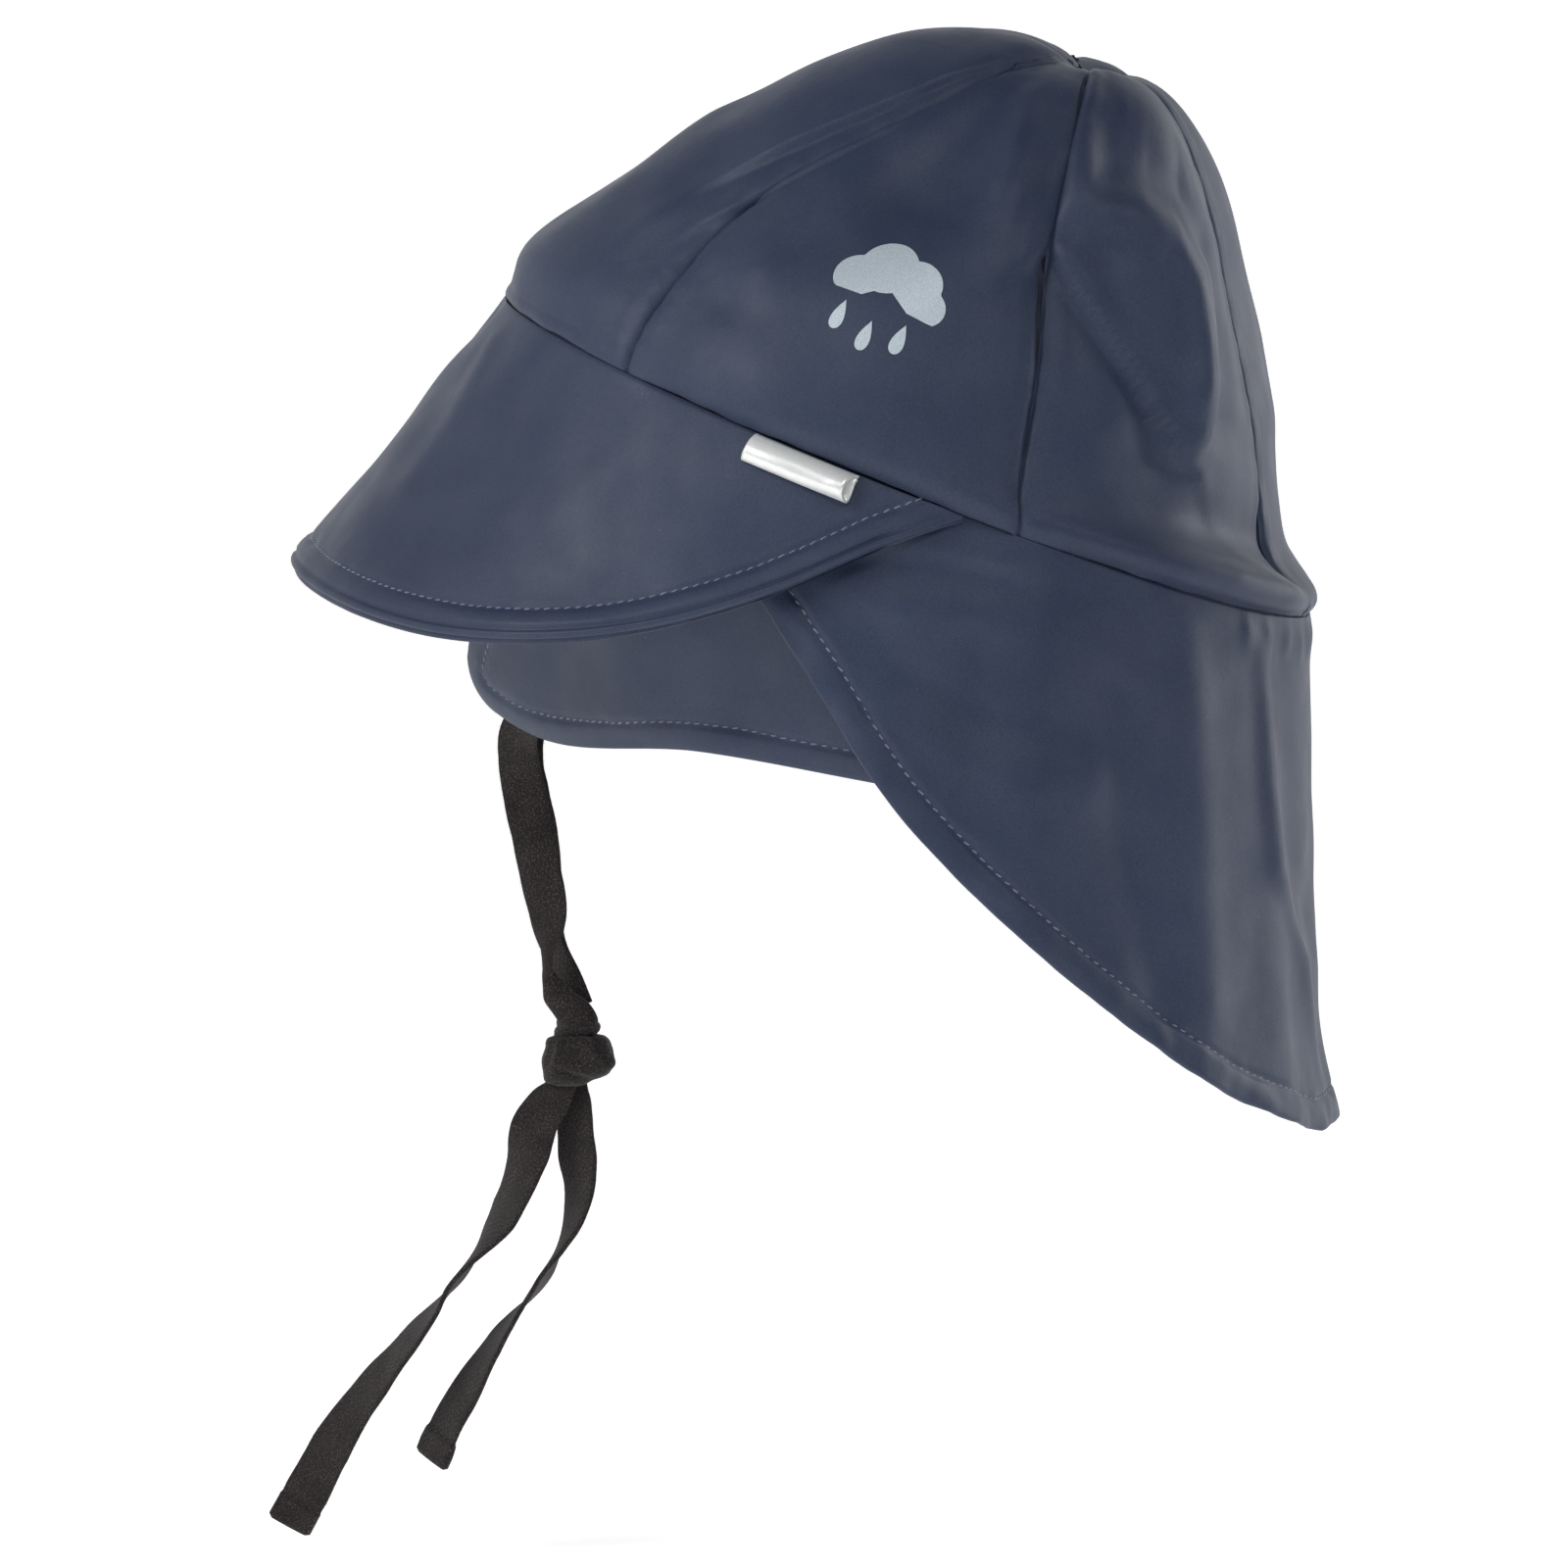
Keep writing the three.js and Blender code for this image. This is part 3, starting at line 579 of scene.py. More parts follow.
def read_line(line, length, at):
    return np.stack([np.interp(at, length, line[:, k]) for k in range(3)], -1)


def resample(line, pitch, start=0.0):
    """Points at an even distance along a line of points."""
    length = run_length(line)
    return read_line(line, length, np.arange(start, length[-1], pitch))


# The tapes. A row of a route is a point and the turn of the tape there in degrees.
TIE_LEFT = (
    (26.4, -76.3, -46.2, 40), (20.1, -80.1, -52.3, 40), (13.4, -83.9, -58.8, 38),
    (9.4, -86.4, -64.6, 18), (7.9, -86.5, -69.7, 4), (6.9, -85.4, -76.5, -4), (5.9, -83.9, -84.5, -8),
    (5.1, -82.7, -92.6, -4), (4.6, -81.4, -99.5, 6), (4.9, -80.6, -106, 10), (4.8, -81.2, -112, 14),
    (4.2, -80.8, -117.4, 20), (2.2, -77.6, -123.4, 10), (0.6, -75.6, -128, 6),
)
TIE_RIGHT = (
    (-26.4, -80.7, -44.6, -40), (-20.1, -84.8, -50.5, -41), (-13.4, -88.9, -56.8, -39),
    (-9.8, -91.6, -62.8, -20), (-7.8, -91.2, -69.4, -4), (-6.7, -89.4, -76.6, -4),
    (-5.8, -87.2, -84.6, -8), (-5, -86, -92.8, -4), (-4.3, -84.9, -99.7, 14), (-3.7, -83.7, -106.2, 28),
    (-3, -81.4, -112, 36), (-2.3, -78.6, -117.5, 26), (-1.4, -75.9, -123.4, 10),
)
TAIL_LONG = (
    (0.6, -77.2, -137.5, 12), (1.8, -80, -142.4, 10), (2.4, -83, -146.2, 8), (2.6, -85.2, -150.2, 6),
    (2.4, -86.8, -156.5, 28), (2.2, -89.2, -163.1, 40), (2.1, -92.6, -169.8, 52),
    (1.9, -96.8, -175.5, 68), (1.7, -100.9, -181.1, 82), (1.5, -104.3, -185.6, 85),
    (1.3, -107.6, -190.2, 76), (1.1, -113.6, -197, 64), (0.9, -119.3, -203.8, 55),
    (0.7, -125, -210.7, 42), (0.6, -130, -217.5, 30), (0.4, -134.4, -224.4, 18),
    (0.2, -138.1, -231.2, 2), (0, -144.2, -242, -10),
)
TAIL_SHORT = (
    (-1.2, -76.4, -136.5, 20), (-2, -77.4, -141.2, 24), (-2.1, -77.3, -146.2, 24),
    (-2, -77, -150.1, 24), (-2, -76.5, -156.6, 30), (-2, -76.1, -163.2, 42), (-2, -77.4, -169.8, 54),
    (-2, -79.7, -175.3, 70), (-2, -82.7, -180.9, 82), (-2, -85.3, -185.4, 84), (-2, -88.7, -189.9, 80),
    (-2, -94.3, -196.7, 64), (-2, -98.8, -203.5, 56), (-2, -102.9, -210.2, 46), (-2, -107, -217, 42),
    (-2, -111, -226, 30),
)
TAPE_WIDTH, TAPE_THICK, TAPE_STEP, TAPE_HEM = 10.0, 1.1, 0.6, 6.3
TAPE_POINTS = 15
FIBRES_A_RING, FIBRES_AT_EDGES, FIBRE_RADIUS = 4.5, 0.6, 0.022


def spline(points, steps):
    """Points of the centripetal curve through these points, and their places counted in points."""
    p = np.asarray(points, float)
    p = np.concatenate([[2 * p[0] - p[1]], p, [2 * p[-1] - p[-2]]])
    out, place = [], []
    for k in range(1, len(p) - 2):
        a, b, c, d = p[k - 1 : k + 3]
        t0, t1, t2 = (np.sqrt(norm(v)) for v in (b - a, c - b, d - c))
        m1 = ((b - a) / t0 - (c - a) / (t0 + t1) + (c - b) / t1) * t1
        m2 = ((c - b) / t1 - (d - b) / (t1 + t2) + (d - c) / t2) * t1
        for f in np.linspace(0, 1, steps, endpoint=False):
            square, cube = 3 * (c - b) - 2 * m1 - m2, 2 * (b - c) + m1 + m2
            out.append(b + m1 * f + square * f**2 + cube * f**3)
            place.append(k - 1 + f)
    out.append(p[-2])
    place.append(len(p) - 3)
    return np.array(out), np.array(place)


def tape_frames(route):
    """Evenly spaced places of a tape: middle, direction, across its width and square to its face."""
    route = np.array(route, float)
    fine, place = spline(route[:, :3], steps=12)
    length = run_length(fine)
    at = np.linspace(0, length[-1], int(length[-1] / TAPE_STEP) + 1)
    middle = read_line(fine, length, at)
    turn = smooth_read(np.arange(len(route)), route[:, 3], np.interp(at, length, place))
    along = unit(np.gradient(middle, axis=0))
    across = unit(np.array([0, 1.0, 0]) - along * along[:, 1:2])
    r = np.radians(turn)[:, None]
    across = across * np.cos(r) + np.cross(along, across) * np.sin(r)
    return at, middle, along, across, np.cross(along, across)


def unsteady(rng, s, pitch, size):
    """Random values at this pitch along a tape, read at its places."""
    return np.interp(s, np.arange(0, s[-1] + pitch, pitch), rng.normal(0, size, int(s[-1] / pitch) + 2))


def tape(name, node, route, width, seed, hem=0.0):
    """A woven tape along a route, as wide as width says at each distance. A hem doubles it at its
    end. Returns it and its middle line."""
    s, middle, along, across, face = tape_frames(route)
    rng = np.random.default_rng(seed)
    end = s[-1] - s
    wobble = unsteady(rng, s, 4.0, 0.12)
    at, wide = np.transpose(width)
    half = smooth_read(at, wide, s) / 2 + wobble
    depth = np.full(s.shape, TAPE_THICK / 2)
    if hem:
        depth += 0.42 * smoothstep(-end, -hem - 0.7, -hem + 0.2) - 0.25 * bell(end, hem + 0.6, 0.5)
        half += 0.3 * smoothstep(-end, -hem - 0.5, -hem + 0.5)
        half -= 0.9 * smoothstep(-end, -0.9, 0) ** 2
        depth *= 1 - 0.55 * smoothstep(-end, -0.5, 0)
    # The tape's outline: its face, a rounded edge, its back and the other rounded edge.
    flat = np.linspace(-1, 1, TAPE_POINTS)
    outline = [(x, 1.0) for x in flat] + [(1.6, 0.7), (2.0, 0.0), (1.6, -0.7)]
    outline += [(x, -1.0) for x in flat[::-1]] + [(-1.6, -0.7), (-2.0, 0.0), (-1.6, 0.7)]
    rings = []
    ripple = unsteady(rng, s, 7.0, 0.16)
    for x, y in outline:
        beyond = np.sign(x) * max(abs(x) - 1, 0)
        inner = np.clip(x, -1, 1)
        out = inner * (half - depth) + beyond * depth
        bow = -0.25 * inner**2 + ripple * inner
        rings.append(middle + across * out[:, None] + face * (depth * y + bow)[:, None])
    grid = np.stack(rings, 1)
    obj = tape_tube(name, grid, s[:, None], run_length(grid[len(s) // 2])[None, :], [node])
    fuzz(name + "_fuzz", grid, seed)
    return obj, middle


def fuzz(name, grid, seed):
    """Short loose fibres that stand out of a woven tape, most of them along its edges."""
    rng = np.random.default_rng(seed + 50)
    count = int(grid.shape[0] * FIBRES_A_RING)
    i = rng.integers(1, grid.shape[0] - 1, count)
    edges = np.arange(3) + np.array([[TAPE_POINTS], [2 * TAPE_POINTS + 3]])
    anywhere = rng.integers(0, grid.shape[1], count)
    at_edges = rng.random(count) < FIBRES_AT_EDGES
    j = np.where(at_edges, edges.ravel()[rng.integers(0, 6, count)], anywhere)
    root = grid[i, j]
    out = unit(root - grid[i].mean(axis=1))
    out = unit(out + rng.normal(0, 0.7, (count, 3)))
    bend = unit(rng.normal(0, 1, (count, 3)))
    size = rng.uniform(0.25, 0.85, count)[:, None]
    side = unit(np.cross(out, bend))
    points = []
    for f in (0.0, 0.5, 1.0):
        c = root + out * size * f + bend * size * 0.35 * f * f
        w = FIBRE_RADIUS * (1 - 0.6 * f)
        for turn in (0, 2.09, 4.19):
            points.append(c + side * w * np.cos(turn) + np.cross(out, side) * w * np.sin(turn))
    small_tubes(name, np.stack(points, 1), (3, 3), TAPE)


# How wide each tape is at these distances from its start.
TIE_WIDTH = ((0, 10), (58, 9.8), (66, 9.2), (71, 6.2), (75, 3.2), (79, 2.6), (95, 4))
FAR_WIDTH = ((0, 10), (66, 9.6), (80, 8.6), (96, 7))
TAIL_WIDTH = ((0, 5), (4, 8), (9, 10), (130, 10))
tie_left, left_path = tape("tie_left_tape", "tie_left", TIE_LEFT, TIE_WIDTH, 1)
tie_right, right_path = tape("tie_right_tape", "tie_right", TIE_RIGHT, FAR_WIDTH, 2)
tail_long, long_path = tape("tail_long_tape", "tie_tail_long", TAIL_LONG, TAIL_WIDTH, 3, TAPE_HEM)
tail_short, short_path = tape("tail_short_tape", "tie_tail_short", TAIL_SHORT, TAIL_WIDTH, 4, TAPE_HEM)

# The knot: its main wrap, and the turn of tape above it. Places in it are counted from its middle,
# rearward along the picture, up, and out towards the left.
KNOT = np.array([0, -75.5, -133.2])
KNOT_AXES = np.array([(-0.2756, 0.9613, 0), (0, 0, 1), (0.9613, 0.2756, 0)])
KNOT_FORM = Table(
    "level rear front depth",
    (7.8, 3.6, -3.8, 5), (7, 4.3, -4.5, 6.2), (5.6, 4.5, -4.8, 7.2),
    (4.4, 4.8, -5.2, 7.8), (3.4, 6.2, -6.4, 9.6), (1.6, 7.2, -7, 11),
    (-0.6, 7.9, -7.6, 11.6), (-2.6, 8.4, -8, 11.4), (-4.4, 6.9, -8, 10.4),
    (-5.8, 4.6, -7.7, 8.6), (-6.9, 2.2, -6.8, 6.4), (-7.6, -0.6, -4.2, 3.4),
)
# Creases between its turns of tape: a place and direction in the picture, a width and a depth.
KNOT_CREASES = (
    (0, 4, 2, 0.4, 0.75), (0, 6.4, 8, 0.5, 0.35), (4.4, 1.4, -62, 0.6, 0.6),
    (-6, 0, 70, 0.7, 0.45), (-1, -4.6, -18, 0.7, 0.4),
)


def knot():
    rows, sides = 110, 128
    t = np.linspace(0, 1, rows)[:, None]
    a = np.linspace(0, 2 * np.pi, sides, endpoint=False)[None, :]
    level, rear, front, depth = (KNOT_FORM.read(c, t) for c in ("level", "rear", "front", "depth"))
    c, q = np.cos(a), np.sin(a)
    r = (rear + front) / 2 + (rear - front) / 2 * np.sign(c) * abs(c) ** 0.85
    bulge = depth / 2 * np.sign(q) * abs(q) ** 0.85
    p = np.stack(np.broadcast_arrays(r, level, bulge), -1)
    out = unit(p * np.array([1, 0.25, 1]))
    push = np.zeros((rows, sides))
    for r0, u0, way, width, deep in KNOT_CREASES:
        d = (p[..., 1] - u0) * cosd(way) - (p[..., 0] - r0) * sind(way)
        reach = 1 if abs(way) < 10 else bell(np.hypot(p[..., 0] - r0, p[..., 1] - u0), 0, 4.5)
        push -= deep * reach * (bell(d, 0, width) - 0.4 * bell(abs(d), 1.5, 0.9))
    p = p + out * (push * smoothstep(np.sin(np.pi * t), 0, 0.2))[..., None]
    p = KNOT + (p + 0.16 * waves(p, 5, 5)[..., None] * out) @ KNOT_AXES
    middle = rows // 2
    around = np.cumsum(norm(np.diff(p[middle], axis=0, append=p[middle, :1]), axis=1))
    tape_tube("knot_body", p, around[None, :], level + 20, ["tie_knot"])
    fuzz("knot_fuzz", p, 9)


# The turn above the wrap: rearward, up, out, width, and the way it faces across in the picture.
KNOT_TURN = (
    (-7.3, 19.2, 1.2, 2.2, 56), (-6.6, 16.8, 2.2, 4, 52), (-4.6, 13.2, 3.3, 6.4, 26),
    (-1.4, 10, 4, 8.3, 18), (0.2, 7.2, 3.9, 8.7, 6), (0.2, 4.8, 3, 8, 0),
)


def knot_turn():
    rows = np.array(KNOT_TURN, float)
    middle, place = spline(rows[:, :3], steps=10)
    count = np.arange(len(rows))
    width = smooth_read(count, rows[:, 3], place)[:, None]
    way = np.radians(smooth_read(count, rows[:, 4], place))
    across = np.stack([np.cos(way), np.sin(way), 0 * way], -1)
    along = unit(np.gradient(middle, axis=0))
    face = unit(np.cross(along, across))
    face *= np.sign(face[:, 2:])
    a = np.linspace(0, 2 * np.pi, 48, endpoint=False)[None, :]
    x, y = (np.sign(c) * abs(c) ** 0.6 for c in (np.cos(a), np.sin(a)))
    thick = 0.95 * smoothstep(place, -0.6, 0.8)[:, None]
    grid = middle[:, None] + across[:, None] * (x * width / 2)[..., None]
    grid = grid + face[:, None] * (y * thick - 0.9 * x * x * (width / 8))[..., None]
    tape_tube("knot_turn", KNOT + grid @ KNOT_AXES, run_length(middle)[:, None], x * width / 2)


knot()
knot_turn()

# The crown's panels.
PANELS = (
    ("crown_back_right", "right_back", "right_rear"),
    ("crown_side_right", "right_rear", "right_front"),
    ("crown_front_right", "right_front", "front"),
    ("crown_front_left", "front", "left_front"),
    ("crown_side_left", "left_front", "left_rear"),
    ("crown_back_left", "left_rear", "left_back"),
)
CROWN_CREASES = (
    (11, -3.8, ((82, 86, 0.6), (83, 72), (82, 57), (80, 44, 0.6))),
    (5, -1, ((88, 73, 0), (91, 62), (91, 52, 0))),
    (5, 1.9, ((89, 84, 0.5), (95, 74), (98, 65), (100, 57, 0.2))),
    (5, 2.8, ((107, 92, 0.2), (107, 84, 0.5), (109, 76, 0.8), (111.5, 69), (117, 67.5), (125.5, 68),
        (135.8, 65), (142, 57), (144.5, 47), (145, 38), (145, 31, 0.6))),
    (8, 1.6, ((118, 60), (127, 54), (135, 45), (139, 36, 0.6))),
    (6.5, -2.5, ((114, 86, 0.2), (119, 79, 0.6), (131, 78), (146, 75), (157, 66), (158, 50), (155, 36),
        (152, 26, 0.4))),
    (5, -0.7, ((116, 42), (123, 32), (130, 24, 0.5))),
    (3.4, 2.6, ((120, 5, 0), (138, 5, 0.7), (152, 4.5), (168, 4.2), (182, 4.2, 0.4))),
    (5.5, -3.2, ((120, 15, 0), (138, 15, 0.7), (152, 14.5), (168, 14), (184, 13, 0.4))),
    (5, -1.6, ((176, 8, 0.3), (190, 8))),
    (5, -1.6, ((-190, 8), (-176, 8, 0.3))),
    (4, 0.6, ((50, 43, 0), (46.5, 30), (45, 19, 0.3))),
    (3, -0.5, ((62, 27, 0), (69.5, 21), (75, 18.5, 0))),
    (4.5, 0.7, ((66, 38, 0), (71, 30), (78, 23, 0))),
    (5.5, -1.7, ((-70, 5, 0), (-45, 5), (0, 5), (45, 5), (70, 5, 0))),
    (4, 0.8, ((-16, 13, 0), (0, 13), (16, 13, 0))),
    (7, -2, ((-112, 56), (-124, 44), (-138, 32))),
    (8, 1.4, ((-128, 60), (-141, 46), (-146, 34))),
    (9, -1.4, ((-84, 80), (-86, 60), (-84, 44))),
    (3, 1, ((-54, 48, 0), (-57, 60), (-60, 74))),
    (6, -0.7, ((-30, 60), (-36, 38))),
    (6, 0.7, ((22, 52), (30, 34))),
)
CROWN_LIPS = (
    (0.7, 9, 1.5, 5, 0.9, ((47, 35.5, 0), (51, 45.6, 0.5), (55.5, 55.8), (59.5, 64), (63.5, 72),
        (66.8, 79.7, 0.8), (70.5, 87, 0.3), (73, 92, 0))),
    (0.7, 5, 0.8, 4, 0.5, ((53, 25.6, 0), (55, 34.2, 0.7), (57.8, 41.2), (60.2, 46.9), (64, 57),
        (68, 66, 0.7), (72, 76, 0))),
    (1.1, 15, 1.4, 11, 3, ((108.5, 58.5, 0), (110.8, 56.2, 0.8), (115.2, 52.2), (121.5, 47.3),
        (129, 40.4), (135.5, 33.5))),
    (2.2, 12, 0.8, 9, 2, ((135.5, 33.5, 0), (138, 27), (141.5, 24), (145, 24.5), (148.5, 28),
        (150.5, 35), (151, 44, 0))),
)
# How far a panel runs on past the middle of each seam.
SEAM_LAP = 0.6


def crown_panel(name, from_seam, to_seam):
    columns, rows = 65, 131
    s = np.linspace(0, 1, columns)
    s = mix(s, (1 - np.cos(np.pi * s)) / 2, 0.8)
    t = np.linspace(0, 1, rows)
    t = mix(t, 1 - np.cos(np.pi * t / 2), 0.5)
    s, t = np.meshgrid(s, t, indexing="ij")
    left, right = SEAMS.read(from_seam, t), SEAMS.read(to_seam, t)
    lap = np.degrees(SEAM_LAP / crown_rib(left, t)[0])
    angle = mix(left - lap, right + lap, s)
    p = crown_point(angle, t, np.sin(np.pi * s) ** 0.8)
    radius, height = crown_rib(angle, t)
    from_left, from_right = (angle - left) * np.radians(radius), (right - angle) * np.radians(radius)
    edge = np.maximum(np.minimum(from_left, from_right), 0)
    steps = norm(np.diff(p, axis=1), axis=2)
    up = np.concatenate([0 * steps[:, :1], np.cumsum(steps, axis=1)], 1)
    fade = smoothstep(up[:, -1:] - up, 4, 18)
    pucker = waves(p, 5.5, 11) * 0.16 * np.exp(-edge / 3.5) * fade
    # The left front seam is pulled nearly flat in its upper half.
    seam = 0.2 * (1 - smoothstep(edge, 4, 7)) - 0.4 * bell(edge, 0, 1.3) - 0.7 * np.exp(-edge / 0.3)
    if "left_front" in (from_seam, to_seam):
        here = from_left if from_seam == "left_front" else from_right
        seam *= 1 - 0.75 * smoothstep(height, 46, 58) * (1 - smoothstep(here, 6, 12))
        seam += 1.1 * bell(here, 0, 7) * bell(height, 30, 22)
    seam *= mix(0.35, 1, fade)
    base = 0.2 * (1 - smoothstep(up, 5, 8.5)) - 0.2 * bell(up, 0, 1.2) - 0.45 * np.exp(-up / 0.3)
    base += waves(p, 6, 12) * 0.12 * np.exp(-up / 4)
    form = creases(angle, height, CROWN_CREASES) + lips(angle, height, CROWN_LIPS)
    form *= smoothstep(up, 0, 4) * fade
    form = seam + base + pucker + form + 0.22 * waves(p, 26, 13) * fade
    p = pushed(p, form)
    p = p - on_hat(0, 0, 0.2 * np.exp(-up / 1.5))
    return shell(name, p, WALL, (0.1, 0.1, 0.1, 0.1)), p


crown = {panel: crown_panel(panel, from_seam, to_seam) for panel, from_seam, to_seam in PANELS}


def hemmed(d):
    """How a folded hem lifts a sheet, from the distance to its free edge: a soft roll, a groove
    where the stitches pull it in, and a small step back to the single cloth."""
    roll = 0.42 * np.sin(np.pi * np.clip(d / HEM, 0, 1)) ** 0.8
    return np.where(d < HEM, roll, 0) - 0.5 * bell(d, HEM, 0.8)


def puckered(p, d, size, seed, height, reach):
    """How the stitches of a hem pucker the cloth on both sides of them."""
    return waves(p, size, seed) * height * np.exp(-abs(d - HEM) / reach)


def fine_line(line, pitch=0.8):
    return np.concatenate([resample(line, pitch), line[-1:]])


def nearest(points, places):
    """Which of the points is nearest to each place."""
    tree = KDTree(len(points))
    for k, p in enumerate(points):
        tree.insert(p, k)
    tree.balance()
    return np.array([tree.find(p)[1] for p in places])


def edge_distance(p, *edges):
    """Each place's distance to the nearest of these edge lines, in mm."""
    edges = [fine_line(e) for e in edges]
    line, flat = np.concatenate(edges), p.reshape(-1, 3)
    before = np.concatenate([np.concatenate([e[:1], e[:-1]]) for e in edges])
    after = np.concatenate([np.concatenate([e[1:], e[-1:]]) for e in edges])
    k = nearest(line, flat)
    best = np.full(len(flat), np.inf)
    for a, b in ((before[k], line[k]), (line[k], after[k])):
        run = b - a
        along = np.sum((flat - a) * run, axis=1) / np.maximum(np.sum(run * run, axis=1), 1e-9)
        away = flat - a - run * np.clip(along, 0, 1)[:, None]
        best = np.minimum(best, norm(away, axis=1))
    return best.reshape(p.shape[:-1])


# The peak, of two layers that meet at its edge.
PEAK_CREASES = (
    (3.5, 0.7, ((-12, 3), (-8, 6), (-4, 18), (2, 34))),
    (3, -0.6, ((17, 2), (10, 16), (4, 32))),
    (4, 0.6, ((30, 8), (36, 26), (37, 42))),
    (4, -0.5, ((48, 6), (52, 22), (54, 34))),
    (5, 0.6, ((70, 4), (68, 18), (64, 30))),
    (5, -0.5, ((-40, 8), (-44, 30))),
)


def peak():
    a = np.linspace(-PEAK_LAST, PEAK_LAST, 241)
    u = 1 - (1 - np.linspace(0, 1, 71)) ** 1.25
    angle, u = np.meshgrid(a, u, indexing="ij")
    full = peak_depth(angle)
    depth = u * full
    p = peak_point(angle, depth)
    d = edge_distance(p, p[:, -1])
    base = norm(p - p[:, :1], axis=-1)
    room = smoothstep(full, 3, 14)
    # The hem, a groove just inside the edge, and the edge itself, which lifts toward the rear.
    form = (hemmed(d) - 0.8 * bell(d, 1.25, 0.45)) * room
    form += 1.7 * (1 - smoothstep(d, 0, 9)) * smoothstep(abs(angle), 50, 72) * smoothstep(full, 0, 8)
    form -= 0.12 * bell(base, 0, 0.8)
    form += 0.6 * np.exp(-base / 5) * np.maximum(cosd(angle), 0)
    form += creases(angle, depth, PEAK_CREASES) * room * smoothstep(d, 1, 8)
    form += (puckered(p, d, 5.0, 21, 0.1, 2.5) + waves(p, 30, 22) * 0.3) * room
    p = pushed(p, form)
    thick = WALL + 0.9 * (1 - smoothstep(d, 4, 9)) * room
    return shell("peak", p, thick, (0.8, 0.8, 0.1, 1.0), notch=1.5), p, d


NECK_CREASES = (
    (3, 1.3, ((162.4, 5, 0.4), (163.8, 18), (164.3, 37), (166, 54), (173, 64), (180.6, 74),
        (187.8, 106, 0.3))),
    (5, -0.7, ((170, 8), (171, 30), (173, 48), (181, 60), (190, 72))),
    (5.5, -1.4, ((133, 26), (135, 52), (138, 72), (140, 88))),
    (5, 0.9, ((146, 8), (148, 47), (149, 88))),
    (5, 0.8, ((92.7, 24.5), (103, 24.5), (113, 19.5))),
    (4, -0.7, ((97, 17.5), (108, 14), (118, 10))),
    (4, 0.6, ((96, 12), (106, 8), (116, 6))),
    (5, -0.8, ((104, 38), (116, 40), (126, 36))),
    (5, 0.6, ((108, 50), (120, 52), (130, 46))),
    (4.5, -1.3, ((198, 10), (197, 40), (200, 70))),
    (4.5, 1.5, ((205, 8), (204, 40), (208, 80))),
    (5, -1, ((226, 20), (224, 60))),
    (5, 0.8, ((240, 16), (236, 60))),
)
GATHERS = (158.8, 164.6, 171.8, 177.6, 184, 191)
FREE_RIMS = (1.0, 1.0, 0.1, 1.0)


def neck_flap():
    a = np.linspace(NECK_FROM, NECK_TO, 261)
    u = np.linspace(0, 1, 121)
    u = u - 0.04 * np.sin(2 * np.pi * u)
    angle, u = np.meshgrid(a, u, indexing="ij")
    depth = u * neck_depth(angle)
    p = neck_point(angle, depth)
    d = edge_distance(p, p[0, ::-1], p[:, -1], p[-1])
    below, well_below = smoothstep(depth, 1, 8), smoothstep(depth, 4, 12)
    form = hemmed(d) * below
    form += creases(angle, depth, NECK_CREASES) * mix(0.5, 1, smoothstep(d, 0, 9)) * below
    for at in GATHERS:
        form += 0.8 * bell(angle, at, 1.3) * bell(depth, 4.5, 4.0)
    form += puckered(p, d, 4.6, 31, 0.16, 2.2) * well_below
    form += waves(p, 9.0, 32) * 0.3 * np.exp(-(d / 6.0)) * well_below
    form += waves(p, 28, 33) * 0.35 * (smoothstep(d, 1, 9) * below)
    p = pushed(p, form)
    return shell("neck_flap", p, WALL, FREE_RIMS), p, d


EAR_CREASES = (
    (6, 1.1, ((66, 30), (74, 52), (80, 74))),
    (5, -0.9, ((58, 24), (64, 50), (68, 76))),
    (6, -0.8, ((92, 30), (94, 60))),
    (5, 0.7, ((108, 20), (106, 50))),
)


def ear_flap(name, side):
    a = side * np.linspace(EAR_FROM, EAR_TO, 121)
    angle, u = np.meshgrid(a, np.linspace(0, 1, 111), indexing="ij")
    depth = u * ear_depth(angle)
    p = ear_point(angle, depth)
    d = edge_distance(p, p[0], p[:, -1], p[-1])
    form = hemmed(d) * smoothstep(depth, 1, 8)
    form += creases(angle * side, depth, EAR_CREASES) * smoothstep(d, 1, 8)
    form += puckered(p, d, 4.6, 41 + side, 0.12, 2.2)
    form += waves(p, 26, 43 + side) * 0.35 * smoothstep(d, 1, 9)
    p = pushed(p, form)
    return shell(name, p, WALL, FREE_RIMS), p, d


# The hemmed sheets: each one's piece, its points and their distances to its free edge.
hemmed_sheets = {
    "peak": peak(),
    "neck_flap": neck_flap(),
    "ear_flap_left": ear_flap("ear_flap_left", 1),
    "ear_flap_right": ear_flap("ear_flap_right", -1),
}

# Rows of stitches, one hem's width inside each free edge: their pitch, and a stitch's length, the
# radius of its thread, its turn from the row in degrees and its height above the cloth in radii.
PITCH, STITCH, THREAD_RADIUS, STITCH_TURN, STITCH_LIFT = 2.37, 1.75, 0.2, 12, 0.35
STITCH_RINGS, STITCH_SIDES = 7, 6


